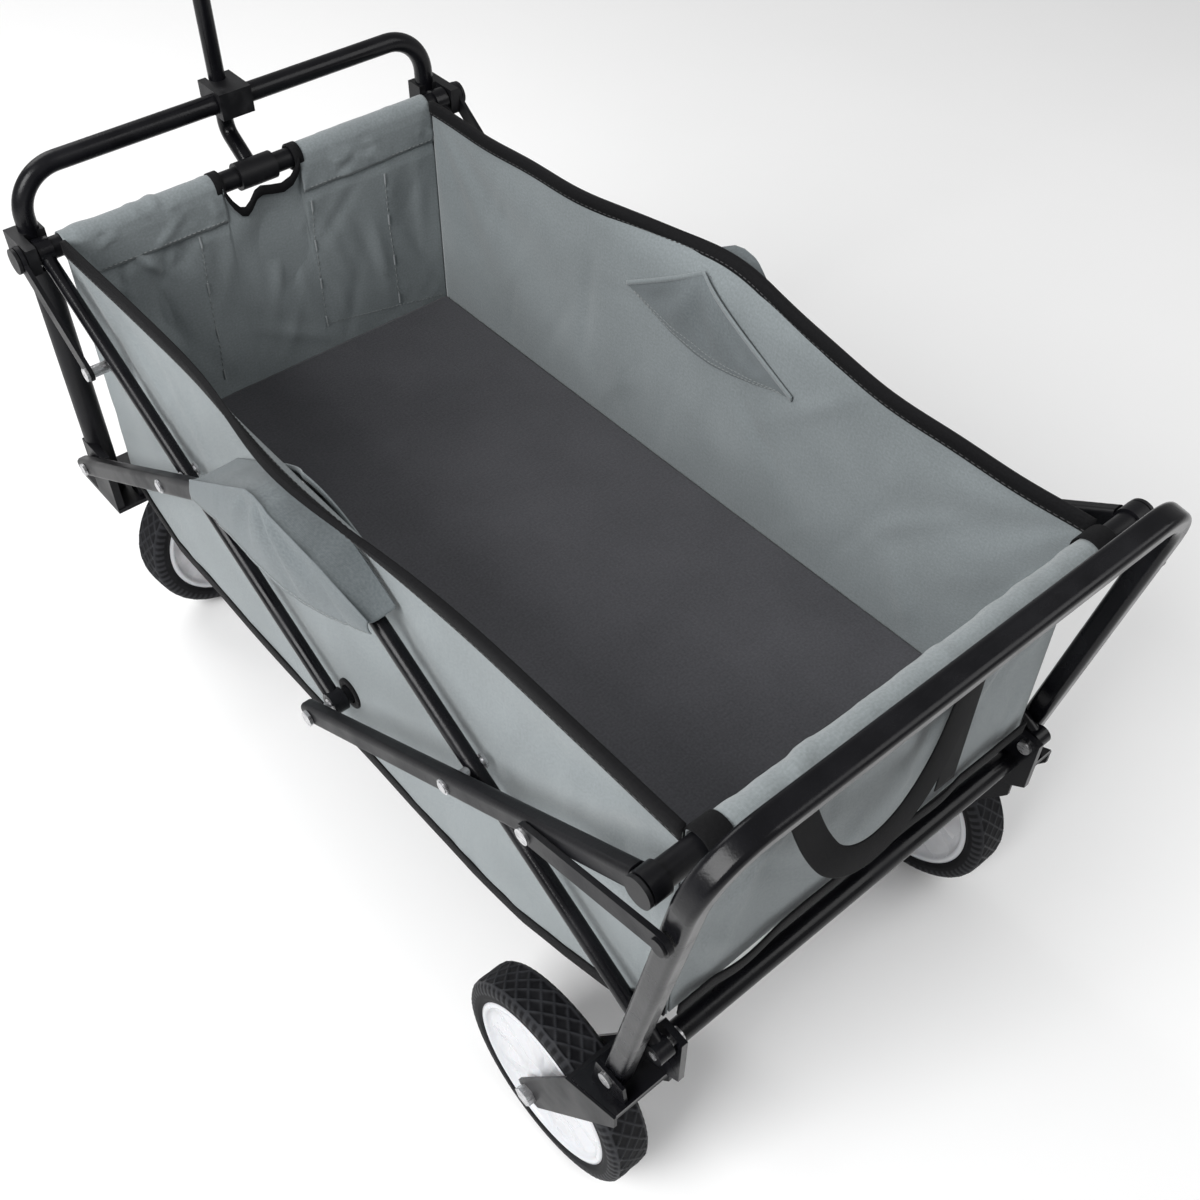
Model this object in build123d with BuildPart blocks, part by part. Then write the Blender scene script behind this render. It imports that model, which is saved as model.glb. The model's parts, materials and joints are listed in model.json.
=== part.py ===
from build123d import *
import math
import os

os.makedirs("parts", exist_ok=True)

# Folding wagon. +Z up, +Y to the rear (push bar), +X to the left of someone pulling it.
# The origin is on the floor, under the middle of the wagon's box.

# ---- driving dimensions, millimetres
SPAN = 850.0                # front top tube to rear top tube
Y_FRONT = -409.45           # front top tube
Y_REAR = Y_FRONT + SPAN
Y_MID = Y_FRONT + SPAN / 2
Z_TOP = 546.0               # upper pivots
Z_LOW = 298.0               # lower pivots
TUBE_R = 10.0               # cross tubes
HALF_WIDTH = 250.0          # to the end caps

X_INNER = 221.0             # middle plane of the inner links
INNER_T = 14.0              # inner links are round tube
X_OUTER = 241.5             # middle plane of the outer links
OUTER_T = 14.0              # outer links are flat-sided tube
OUTER_W = 19.0
PIN_R = 4.0
RUN = 0.08                  # running clearance, radial

POST_Y = Y_FRONT - 22.5     # front posts and front U-bar
POST_R = 12.5
LEG_R = 9.5
BAR_Z = 612.0               # front U-bar's cross piece
POST_TOP = 520.0

WHEEL_R = 101.7
WHEEL_W = 40.0
HUB_R = 82.0
AXLE_R = 6.0
REAR_AXLE_Y = Y_FRONT + 742.0
REAR_WHEEL_X = 233.0
KING_X = 141.0
KING_Y = Y_FRONT - 44.0
TRAIL = 36.0
CASTER_TURN = 5.0           # degrees; the trail points inward and this much to the front

PUSH_X = 238.0
PUSH_PIVOT = (Y_FRONT + 826.0, 252.0)
PUSH_LEAN = 10.0
PUSH_HEIGHT = 350.0
STRUT_AT = 268.0            # from the push bar's pivot to its strut bolt
STRUT_BACK = 126.0          # from the rear top tube to the strut's bolt, along the link

CLOTH_X = 204.0             # inside of the side walls
CLOTH_T = 2.0
FLOOR_Z = 314.0
RIM_Z = 556.0
SLEEVE_GAP = 0.3

POLE_Y = Y_FRONT - 43.0
POLE_R = 8.0
SLIDE_R = 10.5
SLIDE_FROM = 735.0

LINK = math.hypot(SPAN / 2, Z_TOP - Z_LOW)
TILT = math.degrees(math.atan2(Z_TOP - Z_LOW, SPAN / 2))
CROSS_1 = ((Y_FRONT + Y_MID) / 2, (Z_TOP + Z_LOW) / 2)
CROSS_2 = ((Y_REAR + Y_MID) / 2, (Z_TOP + Z_LOW) / 2)
SIDES = (("left", 1), ("right", -1))


def save(part, name):
    part.label = name
    export_step(part, f"parts/{name}.step")


def along(y, z, angle, distance):
    """The point at a distance from (y, z), in a direction given in degrees up from +Y."""
    a = math.radians(angle)
    return y + distance * math.cos(a), z + distance * math.sin(a)


def across(x, y, z):
    """A plane square to X whose own Z points to +X."""
    return Plane(origin=(x, y, z), x_dir=(0, 1, 0), z_dir=(1, 0, 0))


def facing(x, y, z, angle):
    """A plane square to a direction in the YZ plane, its own X along X."""
    a = math.radians(angle)
    return Plane(origin=(x, y, z), x_dir=(1, 0, 0), z_dir=(0, math.cos(a), math.sin(a)))


def disc(x0, x1, y, z, r, mode=Mode.ADD):
    """A cylinder along X between two x values, for the builder that is open."""
    with BuildSketch(across(min(x0, x1), y, z)) as outline:
        Circle(r)
    extrude(outline.sketch, amount=abs(x1 - x0), mode=mode)


def hole(x0, x1, y, z, r):
    disc(x0, x1, y, z, r, Mode.SUBTRACT)


def upright(x, y, z0, z1, r, mode=Mode.ADD):
    """A cylinder along Z between two heights, for the builder that is open."""
    with BuildSketch(Plane.XY.offset(z0)) as outline:
        with Locations((x, y)):
            Circle(r)
    extrude(outline.sketch, amount=z1 - z0, mode=mode)


def block(x0, x1, y0, y1, z0, z1):
    """A box between pairs of x, y and z values, for the builder that is open."""
    with BuildSketch(Plane.XY.offset(min(z0, z1))) as outline:
        with Locations(((x0 + x1) / 2, (y0 + y1) / 2)):
            Rectangle(abs(x1 - x0), abs(y1 - y0))
    extrude(outline.sketch, amount=abs(z1 - z0))


def plate(x0, x1, points):
    """A flat plate square to X with the given (y, z) outline."""
    with BuildSketch(across(min(x0, x1), 0, 0)) as outline:
        with BuildLine():
            Polyline(*points, close=True)
        make_face()
    extrude(outline.sketch, amount=abs(x1 - x0))


def rivet(x0, x1, y, z, s):
    """A pin from x0 out to x1 with a thin domed head at each end."""
    disc(s * x0, s * x1, y, z, PIN_R)
    disc(s * x0, s * (x0 - 2.2), y, z, PIN_R + 2.2)
    disc(s * x1, s * (x1 + 1.4), y, z, PIN_R + 2.6)
    disc(s * (x1 + 1.4), s * (x1 + 2.4), y, z, PIN_R + 1.0)


# ---- front bottom frame: posts, bottom tube, caster plates
with BuildPart() as posts:
    for side, s in SIDES:
        with BuildSketch(Plane.XY.offset(241.0)):
            with Locations((s * X_INNER, POST_Y)):
                Circle(POST_R)
                Circle(LEG_R + RUN, mode=Mode.SUBTRACT)
        extrude(amount=POST_TOP - 241.0)
save(posts.part, "front_posts")

with BuildPart() as front_brackets:
    for side, s in SIDES:
        # plate over the caster, lug behind the post for the low link, saddle under the tube
        block(s * 118, s * 234, Y_FRONT - 66, Y_FRONT + 15, 236.4, 241)
        block(s * 226, s * 234, Y_FRONT - 30, Y_FRONT + 14, 241, 312)
        block(s * 122, s * 206, Y_FRONT - 9, Y_FRONT + 9, 241, 258)
        upright(s * X_INNER, POST_Y, 241, 321, POST_R, Mode.SUBTRACT)
        hole(s * 110, s * 226, Y_FRONT, 264, TUBE_R)
        hole(s * 220, s * 240, Y_FRONT, Z_LOW, PIN_R)
        upright(s * KING_X, KING_Y, 230, 250, AXLE_R, Mode.SUBTRACT)
save(front_brackets.part, "front_brackets")

with BuildPart() as front_bottom:
    disc(-207, 207, Y_FRONT, 264, TUBE_R)
    hole(-207, 207, Y_FRONT, 264, TUBE_R - 1.5)
save(front_bottom.part, "front_bottom_tube")

with BuildPart() as low_pins:
    for side, s in SIDES:
        disc(s * 224, s * 249.2, Y_FRONT, Z_LOW, PIN_R)
        disc(s * 249.2, s * 251.6, Y_FRONT, Z_LOW, PIN_R + 2.6)
save(low_pins.part, "front_low_pins")

with BuildPart() as king_pins:
    for side, s in SIDES:
        upright(s * KING_X, KING_Y, 206, 247, AXLE_R)
        with BuildSketch(Plane.XY.offset(241.0)):
            with Locations((s * KING_X, KING_Y)):
                RegularPolygon(9, 6)
        extrude(amount=6)
        upright(s * KING_X, KING_Y, 204, 211.6, 8.4)
save(king_pins.part, "caster_kingpins")


def wheel(c, n, prefix):
    """Tyre and hub turned about the axle through c along n."""
    face = Plane(origin=c, x_dir=n, z_dir=n.cross(Vector(0, 0, 1)))
    spin = Axis(c, n)
    h = WHEEL_W / 2
    with BuildPart() as tyre:
        with BuildSketch(face):
            with BuildLine():
                Polyline(
                    (-h + 2, HUB_R), (-h, HUB_R + 3), (-h, WHEEL_R - 7), (-h + 5, WHEEL_R - 1.4),
                    (-h + 10, WHEEL_R), (h - 10, WHEEL_R), (h - 5, WHEEL_R - 1.4), (h, WHEEL_R - 7),
                    (h, HUB_R + 3), (h - 2, HUB_R), close=True)
            make_face()
        revolve(axis=spin)
    save(tyre.part, f"{prefix.replace('wheel', 'tyre')}")
    with BuildPart() as hub:
        with BuildSketch(face):
            with BuildLine():
                Polyline(
                    (-h + 2, HUB_R), (-h + 2, HUB_R - 5), (-13, HUB_R - 9), (-13, 24), (-h - 1, 16),
                    (-h - 1, AXLE_R + RUN), (h + 1, AXLE_R + RUN), (h + 1, 16), (13, 24),
                    (13, HUB_R - 9), (h - 2, HUB_R - 5), (h - 2, HUB_R), close=True)
            make_face()
        revolve(axis=spin)
    save(hub.part, f"{prefix.replace('wheel', 'hub')}")


# ---- casters
for side, s in SIDES:
    a = math.radians(CASTER_TURN)
    u = Vector(-s * math.cos(a), -math.sin(a), 0)
    n = u.cross(Vector(0, 0, 1))
    king = Vector(s * KING_X, KING_Y, 0)
    centre = king + u * TRAIL + Vector(0, 0, WHEEL_R)
    gap = WHEEL_W / 2 + 1.6
    with BuildPart() as fork:
        with BuildSketch(Plane(origin=king + Vector(0, 0, 212), x_dir=u, z_dir=(0, 0, 1))):
            with Locations((4, 0)):
                RectangleRounded(52, 2 * gap + 6, 3)
        extrude(amount=5)
        upright(king.X, king.Y, 217, 236, 15)
        for k in (-1, 1):
            origin = king + n * (k * (gap + 1.5) - 1.5)
            with BuildSketch(Plane(origin=origin, x_dir=u, z_dir=n)):
                with BuildLine():
                    Polyline((-20, 214), (28, 214), (TRAIL + 12, WHEEL_R + 4),
                             (TRAIL + 9, WHEEL_R - 9), (TRAIL - 9, WHEEL_R - 9), (TRAIL - 12, WHEEL_R + 4),
                             close=True)
                make_face()
            extrude(amount=3)
        upright(king.X, king.Y, 200, 260, AXLE_R + RUN, Mode.SUBTRACT)
        with BuildSketch(Plane(origin=centre - n * 40, x_dir=u, z_dir=n)):
            Circle(AXLE_R)
        extrude(amount=80, mode=Mode.SUBTRACT)
    save(fork.part, f"caster_fork_{side}")
    with BuildPart() as axle:
        with BuildSketch(Plane(origin=centre - n * (gap + 6.5), x_dir=u, z_dir=n)):
            Circle(AXLE_R)
        extrude(amount=2 * gap + 13)
        with BuildSketch(Plane(origin=centre + n * (gap + 3), x_dir=u, z_dir=n)):
            RegularPolygon(10, 6)
        extrude(amount=6)
        with BuildSketch(Plane(origin=centre - n * (gap + 9), x_dir=u, z_dir=n)):
            RegularPolygon(10, 6)
        extrude(amount=6)
    save(axle.part, f"caster_axle_{side}")
    wheel(centre, n, f"front_wheel_{side}")


# ---- scissor links
def inner_link(y0, z0, angle, bore_0, eye_0, bore_1, eye_1, s):
    """A round tube between two pivots with a ring at each end and a hole where the links cross."""
    y1, z1 = along(y0, z0, angle, LINK)
    ym, zm = (y0 + y1) / 2, (z0 + z1) / 2
    x0, x1 = s * (X_INNER - INNER_T / 2), s * (X_INNER + INNER_T / 2)
    ya, za = along(y0, z0, angle, 6)
    with BuildSketch(facing(s * X_INNER, ya, za, angle)) as round_tube:
        Circle(INNER_T / 2 - 0.2)
    extrude(round_tube.sketch, amount=LINK - 12)
    yb, zb = along(y0, z0, angle, 16)
    with BuildSketch(facing(s * X_INNER, yb, zb, angle)) as bore:
        Circle(INNER_T / 2 - 1.7)
    extrude(bore.sketch, amount=LINK - 32, mode=Mode.SUBTRACT)
    disc(x0, x1, y0, z0, eye_0)
    disc(x0, x1, y1, z1, eye_1)
    hole(x0, x1, y0, z0, bore_0)
    hole(x0, x1, y1, z1, bore_1)
    hole(x0, x1, ym, zm, PIN_R + RUN)


def outer_link(y0, z0, angle, before, after, s):
    """A flat-sided tube that runs past its first pivot by before and past its second by after."""
    ya, za = along(y0, z0, angle, -before)
    with BuildSketch(facing(s * X_OUTER, ya, za, angle)) as outside:
        RectangleRounded(OUTER_T, OUTER_W, 4.5)
    extrude(outside.sketch, amount=LINK + before + after)
    with BuildSketch(facing(s * X_OUTER, ya, za, angle)) as inside:
        RectangleRounded(OUTER_T - 3, OUTER_W - 3, 3.2)
    extrude(inside.sketch, amount=LINK + before + after, mode=Mode.SUBTRACT)


OUT_0 = X_OUTER - OUTER_T / 2
OUT_1 = X_OUTER + OUTER_T / 2

BRACE_Y, BRACE_Z = Y_FRONT + 96, 475.0
with BuildPart() as high_front:
    for side, s in SIDES:
        inner_link(Y_FRONT, Z_TOP, -TILT, TUBE_R + RUN, 12.5, 8.0, 11.0, s)
        # lug under the link for the corner brace
        top_0, top_1 = (along(Y_FRONT, Z_TOP, -TILT, d) for d in (96, 114))
        down = TILT + 90
        plate(s * (X_INNER - 2.5), s * (X_INNER + 2.5), [
            along(*top_0, -down, 6), along(*top_1, -down, 6),
            (BRACE_Y + 7, BRACE_Z - 7), (BRACE_Y - 7, BRACE_Z - 7)])
save(high_front.part, "links_front_high")

with BuildPart() as braces:
    for side, s in SIDES:
        slope = math.atan2(BRACE_Z - Z_TOP, BRACE_Y - Y_FRONT) + math.pi / 2
        dy, dz = 7.5 * math.cos(slope), 7.5 * math.sin(slope)
        disc(s * 241, s * 245, Y_FRONT, Z_TOP, 12.5)
        disc(s * 241, s * 245, BRACE_Y, BRACE_Z, 7.5)
        plate(s * 241, s * 245, [(Y_FRONT + dy, Z_TOP + dz), (BRACE_Y + dy, BRACE_Z + dz),
                                 (BRACE_Y - dy, BRACE_Z - dz), (Y_FRONT - dy, Z_TOP - dz)])
        hole(s * 240, s * 246, Y_FRONT, Z_TOP, TUBE_R + RUN)
        hole(s * 240, s * 246, BRACE_Y, BRACE_Z, PIN_R)
save(braces.part, "corner_braces")

for side, s in SIDES:
    with BuildPart() as low_front:
        outer_link(Y_FRONT, Z_LOW, TILT, 22, 9, s)
        hole(s * OUT_0, s * OUT_1, Y_FRONT, Z_LOW, PIN_R + RUN)
        hole(s * OUT_0, s * OUT_1, *CROSS_1, PIN_R)
        hole(s * OUT_0, s * OUT_1, Y_MID, Z_TOP, PIN_R)
    save(low_front.part, f"link_front_low_{side}")

    with BuildPart() as front_rivets:
        rivet(X_INNER - 7.3, OUT_1, *CROSS_1, s)
        rivet(X_INNER - 7.3, OUT_1, Y_MID, Z_TOP, s)
    save(front_rivets.part, f"front_rivets_{side}")

    with BuildPart() as low_rear:
        inner_link(Y_MID, Z_TOP, -TILT, PIN_R + RUN, 9.0, PIN_R + RUN, 9.0, s)
    save(low_rear.part, f"link_rear_low_{side}")

STRUT_Y, STRUT_Z = along(Y_REAR, Z_TOP, TILT, -STRUT_BACK)
with BuildPart() as high_rear:
    for side, s in SIDES:
        outer_link(Y_MID, Z_LOW, TILT, 14, -11, s)
        disc(s * OUT_0, s * OUT_1, Y_REAR, Z_TOP, 12.3)
        hole(s * OUT_0, s * OUT_1, Y_REAR, Z_TOP, TUBE_R)
        hole(s * OUT_0, s * OUT_1, Y_MID, Z_LOW, PIN_R + RUN)
        hole(s * OUT_0, s * OUT_1, *CROSS_2, PIN_R)
        hole(s * OUT_0, s * OUT_1, STRUT_Y, STRUT_Z, PIN_R)
save(high_rear.part, "links_rear_high")

with BuildPart() as mid_tube:
    disc(-228, 228, Y_MID, Z_LOW, 8.0)
    hole(-228, 228, Y_MID, Z_LOW, 6.5)
save(mid_tube.part, "middle_bottom_tube")

with BuildPart() as link_bolts:
    for side, s in SIDES:
        disc(s * 214, s * 228, Y_MID, Z_LOW, 6.5)
        disc(s * 228, s * 249.2, Y_MID, Z_LOW, PIN_R)
        with BuildSketch(across(s * 250.7 - 1.5, Y_MID, Z_LOW)):
            RegularPolygon(8, 6)
        extrude(amount=3)
        disc(s * (X_INNER + 2.5), s * 241, BRACE_Y, BRACE_Z, 5.5)
        disc(s * 241, s * 245, BRACE_Y, BRACE_Z, PIN_R)
        disc(s * 245, s * 247.4, BRACE_Y, BRACE_Z, PIN_R + 2.6)
save(link_bolts.part, "link_bolts")

with BuildPart() as rear_rivets:
    for side, s in SIDES:
        rivet(X_INNER - 7.3, OUT_1, *CROSS_2, s)
        disc(s * OUT_0, s * 253.9, STRUT_Y, STRUT_Z, PIN_R)
        disc(s * 253.9, s * 256.3, STRUT_Y, STRUT_Z, PIN_R + 2.6)
save(rear_rivets.part, "rear_rivets")

# ---- rear top tube and its caps
with BuildPart() as rear_top:
    disc(-HALF_WIDTH, HALF_WIDTH, Y_REAR, Z_TOP, TUBE_R)
    hole(-HALF_WIDTH, HALF_WIDTH, Y_REAR, Z_TOP, TUBE_R - 1.5)
save(rear_top.part, "rear_top_tube")

with BuildPart() as rear_caps:
    for side, s in SIDES:
        disc(s * (HALF_WIDTH - 8), s * HALF_WIDTH, Y_REAR, Z_TOP, TUBE_R - 1.5)
        disc(s * HALF_WIDTH, s * (HALF_WIDTH + 3), Y_REAR, Z_TOP, 12.0)
save(rear_caps.part, "rear_end_caps")

# ---- rear bottom frame: tube, brackets, forks, axles
REAR_Y = Y_FRONT + 838.0
REAR_Z = 268.0
with BuildPart() as rear_bottom:
    disc(-205, 205, REAR_Y, REAR_Z, TUBE_R)
    hole(-205, 205, REAR_Y, REAR_Z, TUBE_R - 1.5)
save(rear_bottom.part, "rear_bottom_tube")

RAMP = math.tan(math.radians(25.0))
YA, YB = Y_FRONT + 792.0, Y_FRONT + 850.0
ZA = 211.0
ZB = ZA + (YB - YA) * RAMP
with BuildPart() as rear_forks:
    for side, s in SIDES:
        plate(s * 205, s * 264, [(YA, ZA), (YB, ZB), (YB, ZB + 3.4), (YA, ZA + 3.4)])
        for x0, x1 in ((205, 208), (261, 264)):
            plate(s * x0, s * x1, [(YA, ZA + 3.4), (YB, ZB + 3.4), (YB, ZB - 12),
                                   (REAR_AXLE_Y + 12, WHEEL_R - 10), (REAR_AXLE_Y - 6, WHEEL_R - 13),
                                   (REAR_AXLE_Y - 14, WHEEL_R + 2), (REAR_AXLE_Y - 8, WHEEL_R + 13)])
        hole(s * 200, s * 270, REAR_AXLE_Y, WHEEL_R, AXLE_R)
save(rear_forks.part, "rear_forks")

with BuildPart() as rear_brackets:
    for side, s in SIDES:
        plate(s * 205, s * 262, [(YA + 6, ZA + 3.4 + 6 * RAMP), (YB, ZB + 3.4), (YB, ZB + 6.8),
                                 (YA + 6, ZA + 6.8 + 6 * RAMP)])
        plate(s * 205, s * 211, [(YA + 16, ZA + 3.4 + 16 * RAMP), (YB, ZB + 3.4), (YB + 12, ZB + 12),
                                 (YB + 12, Z_LOW + 10), (YB - 12, Z_LOW + 12),
                                 (REAR_Y - 16, REAR_Z + 4)])
        plate(s * 248.2, s * 251.2, [(YA + 16, ZA + 3.4 + 16 * RAMP), (YB - 2, ZB + 3.4 - 2 * RAMP),
                                     (YB - 6, 262), (YA + 22, 262)])
        hole(s * 200, s * 216, Y_REAR, Z_LOW, PIN_R)
        hole(s * 240, s * 260, *PUSH_PIVOT, PIN_R)
save(rear_brackets.part, "rear_brackets")

with BuildPart() as rear_pins:
    for side, s in SIDES:
        disc(s * 206, s * 228.6, Y_REAR, Z_LOW, PIN_R)
        disc(s * 203.2, s * 206, Y_REAR, Z_LOW, PIN_R)
        disc(s * 201.4, s * 205, Y_REAR, Z_LOW, PIN_R + 2.4)
        disc(s * 227, s * 253, *PUSH_PIVOT, PIN_R)
        disc(s * 251.2, s * 253.6, *PUSH_PIVOT, PIN_R + 2.6)
save(rear_pins.part, "rear_low_pins")

with BuildPart() as rear_axles:
    for side, s in SIDES:
        disc(s * 201, s * 268, REAR_AXLE_Y, WHEEL_R, AXLE_R)
        with BuildSketch(across(s * 267.5 - 3.5, REAR_AXLE_Y, WHEEL_R)):
            RegularPolygon(10, 6)
        extrude(amount=7)
        with BuildSketch(across(s * 201.5 - 3.5, REAR_AXLE_Y, WHEEL_R)):
            RegularPolygon(10, 6)
        extrude(amount=7)
save(rear_axles.part, "rear_axles")

for side, s in SIDES:
    wheel(Vector(s * REAR_WHEEL_X, REAR_AXLE_Y, WHEEL_R), Vector(1, 0, 0), f"rear_wheel_{side}")

# ---- push bar: one bent tube, and the struts that hold it
lean = 90 - PUSH_LEAN
y0, z0 = along(*PUSH_PIVOT, lean, -11)
y1, z1 = along(*PUSH_PIVOT, lean, PUSH_HEIGHT)
with BuildPart() as push:
    with BuildLine():
        FilletPolyline((PUSH_X, y0, z0), (PUSH_X, y1, z1), (-PUSH_X, y1, z1), (-PUSH_X, y0, z0),
                       radius=48)
    with BuildSketch(facing(PUSH_X, y0, z0, lean)):
        RectangleRounded(18, 20, 5)
        RectangleRounded(15, 17, 3.5, mode=Mode.SUBTRACT)
    sweep()
    hole(-250, 250, *PUSH_PIVOT, PIN_R + RUN)
save(push.part, "push_bar")

for side, s in SIDES:
    ys, zs = STRUT_Y, STRUT_Z
    yu, zu = along(*PUSH_PIVOT, lean, STRUT_AT)
    length = math.hypot(yu - ys, zu - zs)
    turn = math.degrees(math.atan2(zu - zs, yu - ys))
    with BuildPart() as strut:
        with BuildSketch(Plane(origin=(s * 251.6 - 2.2, (ys + yu) / 2, (zs + zu) / 2),
                               x_dir=(0, math.cos(math.radians(turn)), math.sin(math.radians(turn))),
                               z_dir=(1, 0, 0))):
            SlotCenterToCenter(length, 17)
        extrude(amount=4.4)
        hole(s * 249, s * 254, ys, zs, PIN_R + RUN)
        disc(s * 253.8, s * 256.2, yu, zu, PIN_R + 2.6)
    save(strut.part, f"push_bar_strut_{side}")

# ---- front top group: tube, corner blocks, U-bar, caps, pole clip
with BuildPart() as front_top:
    disc(-HALF_WIDTH + 4, HALF_WIDTH - 4, Y_FRONT, Z_TOP, TUBE_R)
    hole(-HALF_WIDTH + 4, HALF_WIDTH - 4, Y_FRONT, Z_TOP, TUBE_R - 1.5)
save(front_top.part, "front_top_tube")

with BuildPart() as front_caps:
    for side, s in SIDES:
        disc(s * (HALF_WIDTH - 12), s * (HALF_WIDTH - 4), Y_FRONT, Z_TOP, TUBE_R - 1.5)
        disc(s * (HALF_WIDTH - 4), s * (HALF_WIDTH - 1), Y_FRONT, Z_TOP, 12.0)
save(front_caps.part, "front_end_caps")

with BuildPart() as u_bar:
    with BuildLine():
        FilletPolyline((X_INNER, POST_Y, 272), (X_INNER, POST_Y, BAR_Z), (-X_INNER, POST_Y, BAR_Z),
                       (-X_INNER, POST_Y, 272), radius=42)
    with BuildSketch(Plane(origin=(X_INNER, POST_Y, 272), x_dir=(1, 0, 0), z_dir=(0, 0, 1))):
        Circle(LEG_R)
        Circle(LEG_R - 1.5, mode=Mode.SUBTRACT)
    sweep()
save(u_bar.part, "front_u_bar")

with BuildPart() as corners:
    for side, s in SIDES:
        block(s * 230, s * 240, POST_Y - 12, Y_FRONT + 13, Z_TOP - 13, Z_TOP + 13)
        block(s * 209, s * 230, POST_Y - 12, Y_FRONT - 14, Z_TOP - 13, Z_TOP + 13)
        hole(s * 225, s * 245, Y_FRONT, Z_TOP, TUBE_R)
        upright(s * X_INNER, POST_Y, 500, 600, LEG_R, Mode.SUBTRACT)
save(corners.part, "corner_blocks")

with BuildPart() as clip:
    block(-17, 17, POLE_Y - 7, POST_Y + 13, BAR_Z - 13, BAR_Z + 13)
    hole(-20, 20, POST_Y, BAR_Z, LEG_R)
    upright(0, POLE_Y, BAR_Z - 20, BAR_Z + 20, POLE_R + 0.5, Mode.SUBTRACT)
    with BuildSketch(Plane.XY.offset(BAR_Z - 20)):
        with Locations((0, POLE_Y - 15)):
            Rectangle(2 * POLE_R + 1, 30)
    extrude(amount=40, mode=Mode.SUBTRACT)
save(clip.part, "pole_clip")

# ---- pull handle
with BuildPart() as tee:
    disc(-20, 20, Y_FRONT, Z_TOP, 13.5)
    hole(-20, 20, Y_FRONT, Z_TOP, TUBE_R + RUN)
save(tee.part, "handle_tee")

with BuildPart() as neck:
    with BuildLine():
        FilletPolyline((0, Y_FRONT - 12.5, Z_TOP + 5), (0, POLE_Y, Z_TOP + 26), (0, POLE_Y, 1006),
                       radius=17)
    with BuildSketch(facing(0, Y_FRONT - 12.5, Z_TOP + 5, 180 - math.degrees(math.atan2(21, 30.5)))):
        Circle(POLE_R)
        Circle(POLE_R - 1.5, mode=Mode.SUBTRACT)
    sweep()
    hole(-20, 20, Y_FRONT, Z_TOP, 13.5)
save(neck.part, "handle_lower_tube")

with BuildPart() as slide:
    with BuildSketch(Plane.XY.offset(SLIDE_FROM)):
        with Locations((0, POLE_Y)):
            Circle(SLIDE_R)
            Circle(POLE_R + RUN, mode=Mode.SUBTRACT)
    extrude(amount=300)
save(slide.part, "handle_upper_tube")

with BuildPart() as collar:
    with BuildSketch(Plane.XY.offset(SLIDE_FROM - 6)):
        with Locations((0, POLE_Y)):
            Circle(14)
            Circle(POLE_R + RUN, mode=Mode.SUBTRACT)
    extrude(amount=34)
    upright(0, POLE_Y, SLIDE_FROM, SLIDE_FROM + 40, SLIDE_R, Mode.SUBTRACT)
save(collar.part, "handle_collar")

with BuildPart() as button:
    with BuildSketch(Plane(origin=(0, POLE_Y - 13.2, SLIDE_FROM + 11), x_dir=(1, 0, 0), z_dir=(0, -1, 0))):
        Circle(5)
    extrude(amount=4)
    upright(0, POLE_Y, SLIDE_FROM - 6, SLIDE_FROM + 28, 14, Mode.SUBTRACT)
save(button.part, "handle_lock_button")

with BuildPart() as grip:
    with BuildSketch(Plane(origin=(0, POLE_Y + 12, 0), x_dir=(1, 0, 0), z_dir=(0, -1, 0))):
        with Locations((0, 1078)):
            RectangleRounded(124, 86, 30)
        with Locations((0, 1080)):
            RectangleRounded(94, 44, 18, mode=Mode.SUBTRACT)
    extrude(amount=24)
    fillet(grip.edges().group_by(Axis.Y)[0] + grip.edges().group_by(Axis.Y)[-1], 6)
    upright(0, POLE_Y, 1020, 1044, 14)
    upright(0, POLE_Y, 1020, 1035, SLIDE_R, Mode.SUBTRACT)
save(grip.part, "handle_grip")

# ---- basket: cloth walls hung on the two top tubes, floor, rims and straps
IN_R = TUBE_R + SLEEVE_GAP
OUT_R = IN_R + 1.6
for end, yt, k in (("front", Y_FRONT, 1), ("rear", Y_REAR, -1)):
    with BuildPart() as wall:
        yw = yt + k * (IN_R + 0.8)
        block(-CLOTH_X, CLOTH_X, yw - 0.8, yw + 0.8, FLOOR_Z, Z_TOP)
        disc(-CLOTH_X, CLOTH_X, yt, Z_TOP, OUT_R)
        hole(-CLOTH_X, CLOTH_X, yt, Z_TOP, IN_R)
        if end == "front":
            block_cut = Box(84, 60, 60, mode=Mode.PRIVATE).moved(Location((0, yt, Z_TOP + 2)))
            add(block_cut, mode=Mode.SUBTRACT)
    save(wall.part, f"basket_{end}_wall")

Y_IN_0 = Y_FRONT + OUT_R + 0.1
Y_IN_1 = Y_REAR - OUT_R - 0.1
# the side cloth hangs below the floor between the wheels, with a hole for the middle tube
LOW_EDGE = [(Y_IN_0, 276), (Y_FRONT + 90, 222), (Y_FRONT + 600, 218), (Y_FRONT + 720, 242),
            (Y_FRONT + 790, 272)]
BAND_H = 14.0
for side, s in SIDES:
    with BuildPart() as wall:
        plate(s * CLOTH_X, s * (CLOTH_X + CLOTH_T), [
            (Y_IN_1, FLOOR_Z), (Y_IN_1, RIM_Z - 8), (Y_IN_0, RIM_Z - 8), *LOW_EDGE,
            (Y_FRONT + 803, FLOOR_Z)])
        hole(s * 200, s * 210, Y_MID, Z_LOW, 10.5)
    save(wall.part, f"basket_{side}_wall")

with BuildPart() as rims:
    for side, s in SIDES:
        block(s * (CLOTH_X - 1.5), s * (CLOTH_X + CLOTH_T + 1.5), Y_IN_0, Y_IN_1, RIM_Z - 8, RIM_Z)
save(rims.part, "rim_bindings")

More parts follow.
